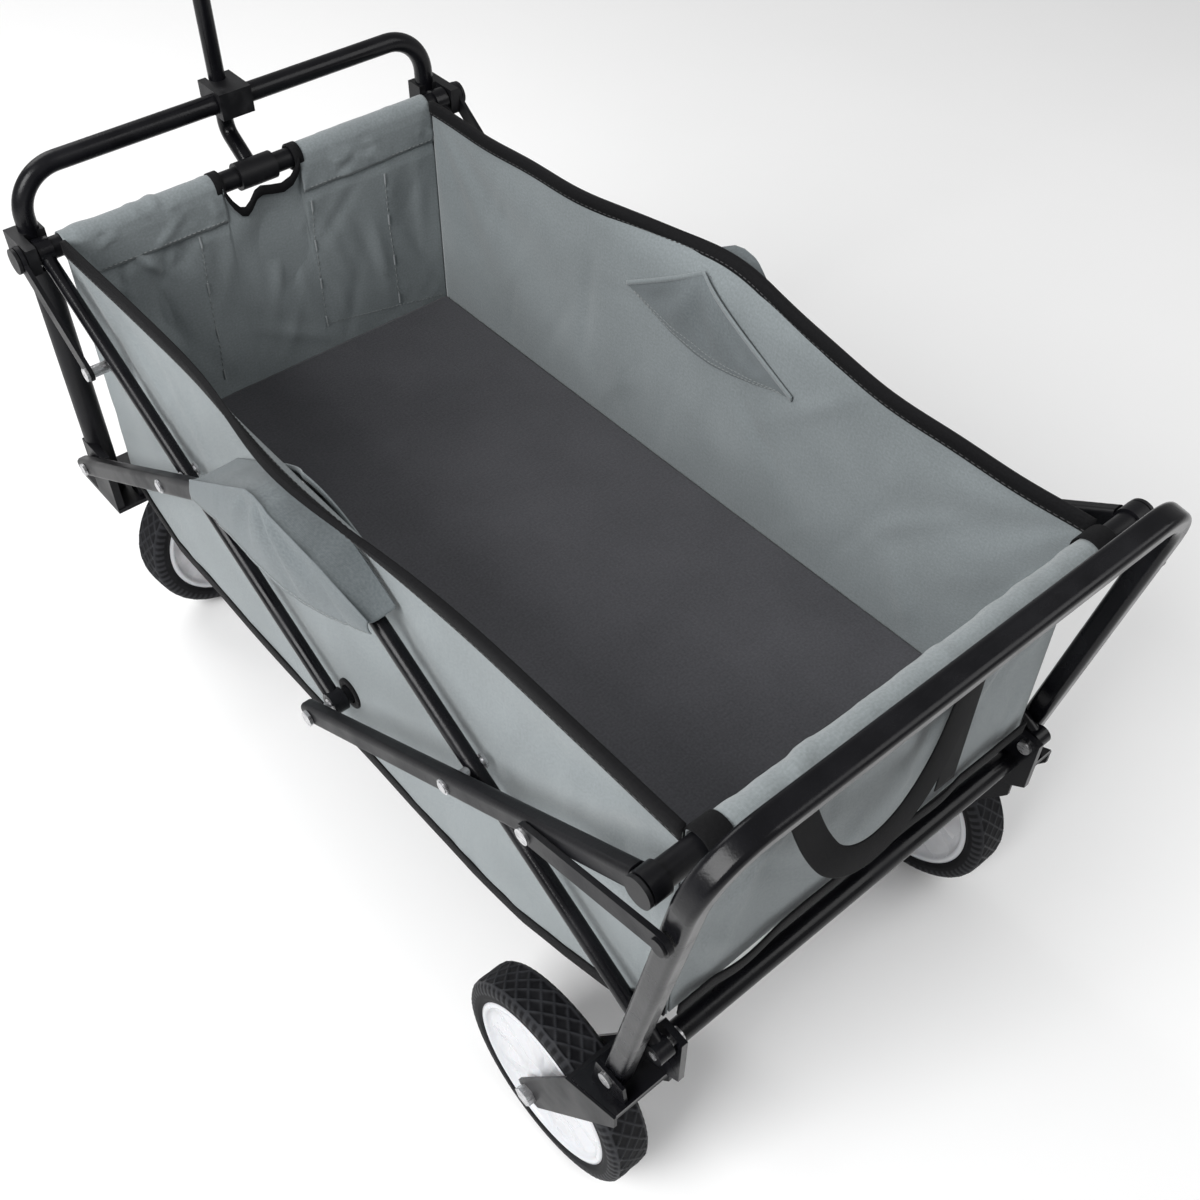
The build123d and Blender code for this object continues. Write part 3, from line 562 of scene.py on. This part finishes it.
def hem_height(x):
    """Height of the hem in the sleeve's opening: it hugs the tube, but sags once into a small V on the
    left and in a shallow bow on the right."""
    return np.interp(x, (-0.0425, -0.0380, -0.0310, -0.0200, -0.0080, 0.0030, 0.0100, 0.0170, 0.0228,
                         0.0285, 0.0352, 0.0400, 0.0425),
                     (0.5480, 0.5400, 0.5325, 0.5290, 0.5315, 0.5345, 0.5320, 0.5230, 0.5185,
                      0.5205, 0.5300, 0.5400, 0.5480))


def front_panel():
    """The front panel: full width, top edge at the sleeve's seam but rising to the hem in the opening;
    y bellies to the front by 3 mm, with creases, soft lobes and gathers below the left of the sleeve."""
    x = np.linspace(-X_WALL + 0.001, X_WALL - 0.001, 280)[:, None] + np.zeros((1, 120))
    share = np.linspace(0, 1, 120)[None, :] + np.zeros((280, 1))
    top = np.where(np.abs(x) < GAP_HALF, hem_height(x), Z_TOP - SEAM_UP + 0.003)
    z = Z_FLOOR + 0.001 + share * (top - Z_FLOOR - 0.001)
    hold = np.sin(math.pi * np.clip(share, 0, 1)) ** 0.6
    edge = np.clip((X_WALL - np.abs(x)) / 0.03, 0, 1)
    belly = 0.0035 * np.sin(math.pi * share) * (1 - (x / X_WALL) ** 2)
    waves = creases(x, z, 5, 70, 0.05, 0.009, 0.0034) + creases(x, z, 9, 16, 0.07, 0.028, 0.0062)
    near_left = np.exp(-((x - 0.135) / 0.055) ** 2 - ((z - 0.500) / 0.022) ** 2)
    gathers = creases(x, z, 13, 90, 0.05, 0.006, 0.0060) * near_left
    sag = 0.0030 * np.exp(-((x - 0.024) / 0.018) ** 2 - ((z - 0.505) / 0.022) ** 2)
    tuck = 0.0018 * np.clip((share - 0.92) / 0.05, 0, 1) * (np.abs(x) > GAP_HALF)
    y = Y_FRONT + 0.0128 - belly + (waves + sag) * hold * edge + gathers * edge - tuck
    return np.stack([x, np.clip(y, Y_FRONT + 0.006, Y_FRONT + 0.0215), z], axis=-1)


def sleeve(x0, x1, tube_y, inward, seed, seam_out):
    """A sleeve: from its seam on the panel's inner face, up and over the tube at 11.6 mm radius, and
    down to meet the panel again below the tube. Small ripples run along the tube."""
    r = 0.0117
    turn = np.linspace(0, math.pi, 22)
    over_y, over_z = r * np.cos(turn), r * np.sin(turn)
    rise = np.linspace(-SEAM_UP, -0.0012, 10)[:-1]
    fall = np.linspace(0, 1, 9)[1:]
    path_y = np.concatenate([np.full(9, r + 0.0012), over_y, -r * (1 - fall) + (seam_out * r) * fall])
    path_z = np.concatenate([rise, over_z, -fall * 0.020])
    x = np.linspace(x0, x1, max(24, int((x1 - x0) / 0.0022)))[:, None] + np.zeros((1, len(path_y)))
    ripple = creases(x, path_z[None, :] * 3 + np.zeros_like(x), seed, 46, 0.05, 0.007, 0.0016)
    grown = 1 + np.clip(ripple, -0.0002, 0.0022) / r
    y = tube_y + inward * path_y[None, :] * grown
    z = Z_TOP + path_z[None, :] * np.where(path_z > 0, grown, 1)
    return np.stack([x, y, z], axis=-1)


grid = front_panel()
front_cloth = panel("front_cloth", grid, laid_out(grid), grey_cloth, CLOTH)
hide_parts("basket_front_wall")
fastened(front_cloth)
for side, s in SIDES:
    ends = sorted((s * GAP_HALF, s * (X_WALL - 0.001)))
    grid = sleeve(*ends, Y_FRONT, 1, 21 + s, 0.75)
    hood = panel(f"front_sleeve_{side}", grid, laid_out(grid), grey_cloth, 0.0011)
    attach(hood, "front_top")


def rear_panel():
    """The rear panel: full width, from the floor to the sleeve, with a slack lower edge that waves and
    creases that run down from the sleeve."""
    x = np.linspace(-X_WALL + 0.001, X_WALL - 0.001, 240)[:, None] + np.zeros((1, 110))
    share = np.linspace(0, 1, 110)[None, :] + np.zeros((240, 1))
    low = Z_FLOOR + 0.001 + 0.004 * np.sin(x * 31 + 1) * np.exp(-share * 6) * 0.5
    z = low + share * (Z_TOP - 0.013 - low)
    hold = np.sin(math.pi * np.clip(share * 0.9 + 0.05, 0, 1)) ** 0.6
    edge = np.clip((X_WALL - np.abs(x)) / 0.03, 0, 1)
    waves = creases(x, z, 15, 60, 0.05, 0.011, 0.0032) + creases(x, z, 19, 14, 0.09, 0.03, 0.003)
    y = Y_REAR - 0.0118 + waves * hold * edge
    return np.stack([x, np.clip(y, Y_REAR - 0.0165, Y_REAR - 0.0070), z], axis=-1)


grid = rear_panel()
rear_cloth = panel("rear_cloth", grid[::-1], laid_out(grid), grey_cloth, CLOTH)
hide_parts("basket_rear_wall")
fastened(rear_cloth)


def rear_roll():
    """The rear sleeve: a closed round of cloth at 11.7 mm radius with ripples along it."""
    x = np.linspace(-X_WALL + 0.001, X_WALL - 0.001, 200)[:, None] + np.zeros((1, 49))
    turn = np.linspace(0, 2 * math.pi, 49)[None, :] + np.zeros((200, 1))
    r = 0.0117 + np.clip(creases(x, turn * 0.02, 27, 60, 0.05, 0.008, 0.0012), -0.0003, 0.0014)
    r[:, -1] = r[:, 0]
    return np.stack([x, Y_REAR + r * np.sin(turn), Z_TOP - r * np.cos(turn)], axis=-1)


grid = rear_roll()
# The sleeve is coloured with the lighter copy of the grey cloth: painted light.
roll = panel("rear_sleeve", grid, laid_out(grid), painted_light_cloth, 0.0011)
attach(roll, "rear_high_links")

# ---- floor
# A board in a charcoal cloth sleeve, loose at its seams. It dips a little between the tubes and its
# cloth has faint creases and rubbed marks.
def floor_cloth():
    """The floor: z is the board's top less a dip of 1.5 mm, with shallow creases."""
    x = np.linspace(-X_WALL + 0.0015, X_WALL - 0.0015, 150)[:, None] + np.zeros((1, 280))
    y = np.linspace(Y_IN_0 + 0.001, Y_IN_1 - 0.001, 280)[None, :] + np.zeros((150, 1))
    rim = np.clip(np.minimum(X_WALL - np.abs(x), np.minimum(y - Y_IN_0, Y_IN_1 - y)) / 0.025, 0, 1)
    dip = 0.0015 * np.sin(math.pi * (y - Y_IN_0) / (Y_IN_1 - Y_IN_0))
    rough = creases(x, y, 41, 50, 0.06, 0.012, 0.0008) + creases(x, y, 43, 14, 0.12, 0.04, 0.0012)
    return np.stack([x, y, Z_PANEL - 0.0012 - dip + np.clip(rough, -0.001, 0.0012) * rim], axis=-1)


grid = floor_cloth()
base = panel("floor_cloth", grid, laid_out(grid), dark_cloth, 0.003)
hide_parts("basket_floor")
fastened(base)


# ---- black binding and piping
# Folded woven tape sewn over every raw edge: the rims, the bottom edges, the opening for the tee and
# the sleeve's lower edge at the back. On the rims a line of thread runs along each face.
def tape(name, route, side, outward, width, thickness):
    """A closed strip carried along a route: at each point its cross-section spans width along side and
    thickness along outward, with rounded edges."""
    route = np.array(route, float)
    side = np.array(side, float) + np.zeros_like(route)
    outward = np.array(outward, float) + np.zeros_like(route)
    side /= np.linalg.norm(side, axis=1, keepdims=True)
    outward /= np.linalg.norm(outward, axis=1, keepdims=True)
    across = np.array([-0.5, -0.46, 0.46, 0.5, 0.5, 0.46, -0.46, -0.5])
    depth = np.array([0.2, 0.5, 0.5, 0.2, -0.2, -0.5, -0.5, -0.2])
    points = (route[:, None] + across[None, :, None] * width * side[:, None]
              + depth[None, :, None] * thickness * outward[:, None])
    rows, ring = points.shape[:2]
    i, j = np.meshgrid(np.arange(rows - 1), np.arange(ring), indexing="ij")
    k = (j + 1) % ring
    faces = np.stack([i * ring + j, (i + 1) * ring + j, (i + 1) * ring + k, i * ring + k], axis=-1)
    faces = faces.reshape(-1, 4)
    last = (rows - 1) * ring
    caps = [list(range(ring)), list(range(last + ring - 1, last - 1, -1))]
    run = np.concatenate([[0], np.cumsum(np.linalg.norm(np.diff(route, axis=0), axis=1))])
    mesh = bpy.data.meshes.new(name)
    mesh.from_pydata(points.reshape(-1, 3).tolist(), [], faces.tolist() + caps)
    layer = mesh.uv_layers.new(name="cloth")
    uv = np.stack([np.repeat(run, ring), np.tile(across * width, rows)], axis=-1)
    corners = np.concatenate([faces.ravel(), np.array(caps).ravel()])
    layer.data.foreach_set("uv", uv[corners].astype(np.float32).ravel())
    mesh.polygons.foreach_set("use_smooth", np.ones(len(faces) + 2, bool))
    mesh.materials.append(tape_cloth)
    piece = bpy.data.objects.new(name, mesh)
    bpy.context.collection.objects.link(piece)
    outwards(piece)
    return piece


along_y = np.linspace(Y_IN_0, Y_IN_1, 160)
RIM_X = X_WALL + 0.001
EDGE_TAPE = 0.0145       # width of the binding on the long edges
TAPE = 0.0022            # thickness of a single fold of tape


for side, s in SIDES:
    sway = 0.0010 * np.sin(along_y * 19 + s) + 0.0006 * np.sin(along_y * 47)
    lean = over_pivot(along_y)
    rim_route = np.stack([s * (RIM_X + RIM_OUT * lean + sway * 0.6), along_y,
                          Z_RIM - 0.0065 + RIM_RISE * lean + sway], axis=-1)
    rim_side = np.stack([s * 0.5 * lean, 0 * lean, 1 - 0.5 * lean], axis=-1)
    rim_out = np.stack([s * (1 - 0.5 * lean), 0 * lean, -0.5 * lean], axis=-1)
    rim = tape(f"rim_tape_{side}", rim_route, rim_side, rim_out, EDGE_TAPE, 0.0056)
    fastened(rim)
    if side == "left":
        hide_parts("rim_bindings")
    low_route = np.stack([s * (X_WALL + 0.0034) + 0 * along_y, along_y,
                          lower_edge(along_y) + 0.0065 + sway], axis=-1)
    low = tape(f"bottom_tape_{side}", low_route, (0, 0, 1), (s, 0, 0), EDGE_TAPE, TAPE)
    fastened(low)
    if side == "left":
        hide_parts("basket_bottom_band")
    around = np.linspace(0, 2 * math.pi, 40)
    eye_route = np.stack([s * (X_WALL + 0.0022) + 0 * around, MID_TUBE[0] + 0.0125 * np.cos(around),
                          MID_TUBE[1] + 0.0125 * np.sin(around)], axis=-1)
    eye_out = np.stack([0 * around, np.cos(around), np.sin(around)], axis=-1)
    eye = tape(f"tube_eye_tape_{side}", eye_route, eye_out, (s, 0, 0), 0.0060, 0.0034)
    fastened(eye)
    for face, sign in (("out", 1), ("in", -1)):
        facing = rim_out / np.linalg.norm(rim_out, axis=1, keepdims=True) * sign
        edge = rim_side / np.linalg.norm(rim_side, axis=1, keepdims=True)
        sewn = stitches(f"rim_thread_{side}_{face}", rim_route + facing * 0.0029 - edge * 0.0045,
                        facing, 0.006, 0.0042, colour=thread_black.material)
        fastened(sewn)

x_run = np.linspace(-X_WALL + 0.004, X_WALL - 0.004, 120)
rear_wave = 0.0035 * np.sin(x_run * 33 + 0.6) + 0.0012 * np.sin(x_run * 81)
REAR_TRIMS = (("rear_piping", Z_TOP - 0.040, 0.0100, 0.4),
              ("rear_bottom_tape", Z_FLOOR + 0.009, 0.016, 1.0))
for name, height, width, wave in REAR_TRIMS:
    route = np.stack([x_run, Y_REAR - 0.0062 + 0.4 * np.abs(rear_wave) * wave,
                      height + rear_wave * wave], axis=-1)
    trim = tape(name, route, (0, 0.05, 1), (0, 1, 0), width, TAPE)
    fastened(trim)

# the opening's binding: a ring round each sleeve's end, and a strip along the hem between them
RING_R = 0.0122
turn = np.linspace(0, 2 * math.pi, 40)
for side, s in SIDES:
    ring_route = np.stack([s * (GAP_HALF + 0.001) + 0 * turn, Y_FRONT + RING_R * np.sin(turn),
                           Z_TOP - RING_R * np.cos(turn)], axis=-1)
    radial = np.stack([0 * turn, np.sin(turn), -np.cos(turn)], axis=-1)
    ring = tape(f"opening_tape_{side}", ring_route, (1, 0, 0), radial, 0.010, TAPE)
    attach(ring, "front_top")
hem_x = np.linspace(-0.0425, 0.0425, 70)
hem_route = np.stack([hem_x, Y_FRONT + 0.0140 + 0 * hem_x, hem_height(hem_x) - 0.0025], axis=-1)
hem = tape("opening_hem", hem_route, (0, 0, 1), (0, 1, 0), 0.010, 0.0030)
fastened(hem)

# ---- seams
# Thread on the front panel: the sleeves' seams, three dotted lines with bar tacks at their ends and
# thirds, and a slanting line near the floor.
SEAM_HIGH = (Y_FRONT + 0.0140, Z_TOP - SEAM_UP + 0.003)
SEAM_RUNS = (("left", GAP_HALF + 0.004, X_WALL - 0.003), ("right", -X_WALL + 0.003, -GAP_HALF - 0.004))
for side, x_start, x_end in SEAM_RUNS:
    route = np.linspace((x_start, *SEAM_HIGH), (x_end, *SEAM_HIGH), 80)
    sewn = stitches(f"front_seam_{side}", route, np.tile((0, 1, 0), (80, 1)))
    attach(sewn, "front_top")


def on_front(x, z):
    """The front panel's inner face nearest to x and z."""
    surface = front_panel().reshape(-1, 3)
    near = np.array([np.argmin((surface[:, 0] - a) ** 2 + (surface[:, 2] - b) ** 2) for a, b in zip(x, z)])
    return np.stack([x, surface[near, 1] + 0.0009, z], axis=-1)


TACKS = (((0.076, 0.505), (0.084, 0.343)), ((-0.050, 0.496), (-0.046, 0.350)),
         ((-0.138, 0.495), (-0.140, 0.339)))
for number, ((x_top, z_high), (x_low, z_low)) in enumerate(TACKS):
    route = on_front(np.linspace(x_top, x_low, 26), np.linspace(z_high, z_low, 26))
    tack = stitches(f"tack_line_{number}", route, np.tile([0, 1, 0], (26, 1)), 0.0075, 0.0048, 0.0005)
    fastened(tack)
    for step, share in enumerate((0.02, 0.34, 0.66, 0.98)):
        x, z = x_top + (x_low - x_top) * share, z_high + (z_low - z_high) * share
        route = on_front(np.full(8, x), np.linspace(z + 0.006, z - 0.006, 8))
        bar = stitches(f"bar_tack_{number}_{step}", route, np.tile([0, 1, 0], (8, 1)),
                       0.0015, 0.0026, 0.0011, thread_pale.material)
        fastened(bar)
route = on_front(np.linspace(-0.046, -0.200, 40), np.linspace(0.350, 0.322, 40))
fastened(stitches("front_low_seam", route, np.tile([0, 1, 0], (40, 1))))

# ---- gussets over the middle pivots
# On each side a leaf of the same cloth is let into the wall below the rim and puffs out over the
# middle pivot, so that nothing pinches there. A row of thread runs along its lower edge, and two
# along the pointed leaf that shows inside. Both leaves are coloured darker than the walls: painted shade.
STITCH = (0.0048, 0.0034)      # pitch and length of the leaves' stitches


def gusset(s):
    """The outer leaf: u runs along the rim, v from the wall out over the link ends and down. Its ridge
    falls both ways from the pivot with the links, its hem hangs nearly level, and soft folds fan out
    from the top."""
    u = np.linspace(-0.121, 0.109, 130)[:, None] + np.zeros((1, 80))
    v = np.linspace(0, 1, 80)[None, :] + np.zeros((130, 1))
    ridge = np.interp(u, (-0.121, -0.060, -0.012, 0.0, 0.012, 0.060, 0.109),
                      (0.4935, 0.5298, 0.5590, 0.5612, 0.5590, 0.5312, 0.5020))
    across = np.clip(v / 0.42, 0, 1)
    fall = np.clip((v - 0.42) / 0.58, 0, 1)
    hem = np.interp(u, (-0.121, 0.040, 0.080, 0.109), (0.4740, 0.4770, 0.4860, 0.4935))
    hem = hem + 0.002 * np.sin(u * 60)
    outer = np.interp(u, (-0.121, 0.018, 0.060, 0.109), (0.2526, 0.2526, 0.2430, 0.2335))
    drop = (ridge - hem) * fall
    start = 0.2088 + bow(Y_MID + u, ridge)
    x = start + (outer + 0.0006 - start) * np.sin(across * math.pi / 2) ** 1.15
    dip = -0.0035 * np.sin(across * math.pi) * (0.4 + np.cos(u * 60)) ** 2 * 0.4
    shoulder = 0.0018 * np.exp(-((v - 0.42) / 0.10) ** 2)
    away = np.hypot(u, drop)
    angle = np.arctan2(u, drop + 0.004)
    fan = 0.0024 * np.cos(angle * 7 + 0.6) * np.exp(-((away - 0.030) / 0.030) ** 2)
    pucker = -0.0030 * np.exp(-(((u + 0.016) / 0.006) ** 2 + ((drop - 0.010) / 0.005) ** 2))
    small = creases(u, drop, 61 + s, 22, 0.035, 0.006, 0.0016)
    billow = 0.0022 * np.sin(math.pi * fall) * np.cos(u * 9)
    x = x + (billow + fan + pucker + small) * np.clip(fall * 5, 0, 1) + 0.0008 * fall
    x = np.where(fall > 0, np.maximum(x, outer), x)
    y = Y_MID + u + 0.004 * fall * np.sign(u)
    z = ridge - drop + dip + shoulder + small * np.sin(across * math.pi)
    return np.stack([s * x, y, z], axis=-1)


# The outer leaves are coloured with the darker copy of the grey cloth: painted shade.
for side, s in SIDES:
    grid = gusset(s)
    leaf = panel(f"pivot_gusset_{side}", grid if s > 0 else grid[::-1], laid_out(grid), painted_shade_cloth, CLOTH)
    fastened(leaf)
    if side == "left":
        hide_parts("pivot_covers")
    lower = grid[:, -4]
    sewn = stitches(f"gusset_thread_{side}", lower + np.array([s * 0.0009, 0, 0]),
                    np.tile([s, 0, 0], (130, 1)), *STITCH)
    fastened(sewn)


LEAF_TIPS = (-0.082, 0.010, 0.136)       # along the wagon: front tip, apex under the rim, rear tip


def leaf_top(y):
    """Upper edge of the inner leaf: two straight edges that meet under the rim."""
    return np.interp(y, LEAF_TIPS, (0.500, 0.5540, 0.4935))


def leaf_low(y):
    """Lower edge of the inner leaf: a curve that bellies 25 mm below the tips."""
    return np.interp(y, (-0.082, -0.056, -0.019, 0.0145, 0.0347, 0.0606, 0.0918, 0.1157, 0.136),
                     (0.4990, 0.4900, 0.4777, 0.4720, 0.4717, 0.4755, 0.4828, 0.4900, 0.4930))


def inner_leaf(s):
    """The leaf seen from inside, let into the wall below the rim. It follows the wall, 2 mm proud at
    its hems, with soft folds that hang from the apex."""
    y = np.linspace(LEAF_TIPS[0], LEAF_TIPS[2], 90)[:, None] + np.zeros((1, 50))
    v = np.linspace(0, 1, 50)[None, :] + np.zeros((90, 1))
    z = leaf_top(y) + (leaf_low(y) - leaf_top(y)) * v
    inside = np.sin(math.pi * v) * np.sin(math.pi * (y - LEAF_TIPS[0]) / (LEAF_TIPS[2] - LEAF_TIPS[0]))
    angle = np.arctan2(y - LEAF_TIPS[1], 0.575 - z)
    folds = 0.0022 * np.cos(angle * 9 + s) * np.exp(-((v - 0.45) / 0.35) ** 2)
    small = creases(y, z, 71 + s, 18, 0.05, 0.006, 0.0016)
    x = X_WALL - 0.0034 + bow(y, z) - 0.0015 * inside + (folds + small) * inside
    return np.stack([s * x, y, z], axis=-1)


# The inner leaves are coloured with the darker copy of the grey cloth: painted shade.
for side, s in SIDES:
    grid = inner_leaf(s)
    patch = panel(f"inner_leaf_{side}", grid if s < 0 else grid[::-1], laid_out(grid), painted_shade_cloth, 0.0010)
    fastened(patch)
    hem_y = np.linspace(LEAF_TIPS[0], LEAF_TIPS[2], 90)
    hem_z = leaf_top(hem_y)
    hem_line = np.stack([s * (X_WALL - 0.0042 + bow(hem_y, hem_z)), hem_y, hem_z], axis=-1)
    fold_over = tape(f"leaf_hem_{side}", hem_line, (0, 0, 1), (s, 0, 0), 0.0055, 0.0016)
    fold_over.data.materials[0] = grey_cloth
    fastened(fold_over)
    for row in (-3, -7):
        route = grid[4:-4, row] + np.array([-s * 0.0008, 0, 0])
        sewn = stitches(f"leaf_thread_{side}_{-row}", route, np.tile([-s, 0, 0], (len(route), 1)),
                        *STITCH)
        fastened(sewn)

# ---- carry strap at the back
# One length of webbing, 26 mm wide, sewn under the rear piping at both ends. Its loop hangs down,
# turned a little outward, and a second, shorter strap runs down the panel on the far side.
def hanging(points, count):
    """A smooth path through given points: a quadratic spline worked out on an even parameter."""
    points = np.array(points, float)
    t = np.linspace(0, len(points) - 2, count)
    k = np.clip(t.astype(int), 0, len(points) - 3)
    f = t - k
    a, b, c = points[k], points[k + 1], points[k + 2]
    return ((a + b) / 2 * ((1 - f) ** 2)[:, None] + b * (2 * f * (1 - f))[:, None]
            + (b + c) / 2 * (f ** 2)[:, None])


y_back = Y_REAR - 0.0030
strap_points = [(0.106, y_back, 0.530), (0.105, y_back, 0.500), (0.099, y_back + 0.005, 0.472),
                (0.090, y_back + 0.012, 0.443), (0.078, y_back + 0.020, 0.420),
                (0.052, y_back + 0.024, 0.407), (0.016, y_back + 0.022, 0.404),
                (-0.020, y_back + 0.016, 0.411), (-0.048, y_back + 0.010, 0.430),
                (-0.066, y_back + 0.005, 0.459), (-0.077, y_back + 0.002, 0.490),
                (-0.080, y_back, 0.510), (-0.081, y_back, 0.528)]
strap_route = hanging(strap_points, 120)
strap_way = np.gradient(strap_route, axis=0)
strap_way /= np.linalg.norm(strap_way, axis=1, keepdims=True)
leaning = np.array([0, 1.0, 0.25])
strap_out = leaning - strap_way * (strap_way @ leaning)[:, None]
strap_side = np.cross(strap_way, strap_out)
strap = tape("carry_strap_webbing", strap_route, strap_side, strap_out, 0.026, 0.0018)
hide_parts("carry_strap")
fastened(strap)
second = np.linspace((-0.088, y_back - 0.0012, 0.512), (-0.088, y_back - 0.0012, 0.345), 30)
down_strap = tape("rear_panel_strap", second, (1, 0, 0), (0, 1, 0), 0.025, 0.0016)
fastened(down_strap)
TAB_R = 0.0138
for side, s in SIDES:
    turn = np.linspace(-0.3 * math.pi, 1.25 * math.pi, 40)
    tab_route = np.stack([np.full(40, s * (X_WALL - 0.010)), Y_REAR - TAB_R * np.cos(turn),
                          Z_TOP + TAB_R * np.sin(turn)], axis=-1)
    radial = np.stack([0 * turn, -np.cos(turn), np.sin(turn)], axis=-1)
    tab = tape(f"corner_tab_{side}", tab_route, (1, 0, 0), radial, 0.022, 0.0014)
    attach(tab, "rear_high_links")

# ---- stage, light and camera
# A pale floor under soft light from large panels overhead and behind, as for a catalogue.
mesh = bpy.data.meshes.new("studio_floor")
mesh.from_pydata([(-6, -6, 0), (6, -6, 0), (6, 6, 0), (-6, 6, 0)], [], [(0, 1, 2, 3)])
studio = bpy.data.objects.new("studio_floor", mesh)
bpy.context.collection.objects.link(studio)
paper = Finish("studio_paper", (0.93, 0.93, 0.93), 0.9)
paper.feed("Base Color", paper.tint(paper.noise(paper.place(), 3, 3),
                                    (0.92, 0.92, 0.92), (0.95, 0.95, 0.95)))
mesh.materials.append(paper.material)

world = bpy.data.worlds.new("studio_air")
bpy.context.scene.world = world
world.use_nodes = True
world.node_tree.nodes["Background"].inputs["Color"].default_value = (1, 1, 1, 1)
world.node_tree.nodes["Background"].inputs["Strength"].default_value = 0.40


def light_panel(name, place, aim, size, power):
    """A square soft light that faces a point."""
    lamp = bpy.data.lights.new(name, "AREA")
    lamp.size = size
    lamp.energy = power
    holder = bpy.data.objects.new(name, lamp)
    holder.location = place
    holder.rotation_euler = (Vector(aim) - Vector(place)).to_track_quat("-Z", "Y").to_euler()
    bpy.context.collection.objects.link(holder)


light_panel("key_panel", (2.2, 0.35, 2.1), (0, 0, 0.3), 1.6, 88)
light_panel("fill_panel", (-1.5, 1.6, 2.2), (0, 0, 0.3), 1.6, 20)
light_panel("front_panel", (0.3, -2.4, 2.3), (0, 0, 0.3), 1.8, 34)

view = bpy.data.cameras.new("catalogue_camera")
view.sensor_width = 36
view.lens = 42.0
view.clip_start = 0.02
camera = bpy.data.objects.new("catalogue_camera", view)
bpy.context.collection.objects.link(camera)
azimuth, down, roll = math.radians(221.09), math.radians(46.87), 0.0128
forward = Vector((math.sin(azimuth) * math.cos(down), math.cos(azimuth) * math.cos(down), -math.sin(down)))
right = forward.cross(Vector((0, 0, 1))).normalized()
upward = right.cross(forward)
rolled = right * math.cos(roll) + upward * math.sin(roll)
lifted = rolled.cross(forward)
camera.matrix_world = Matrix((
    (rolled.x, lifted.x, -forward.x, 0.5575),
    (rolled.y, lifted.y, -forward.y, Y_FRONT + 1.1631),
    (rolled.z, lifted.z, -forward.z, 1.2631),
    (0, 0, 0, 1)))
bpy.context.scene.camera = camera
bpy.context.scene.view_settings.view_transform = "Standard"
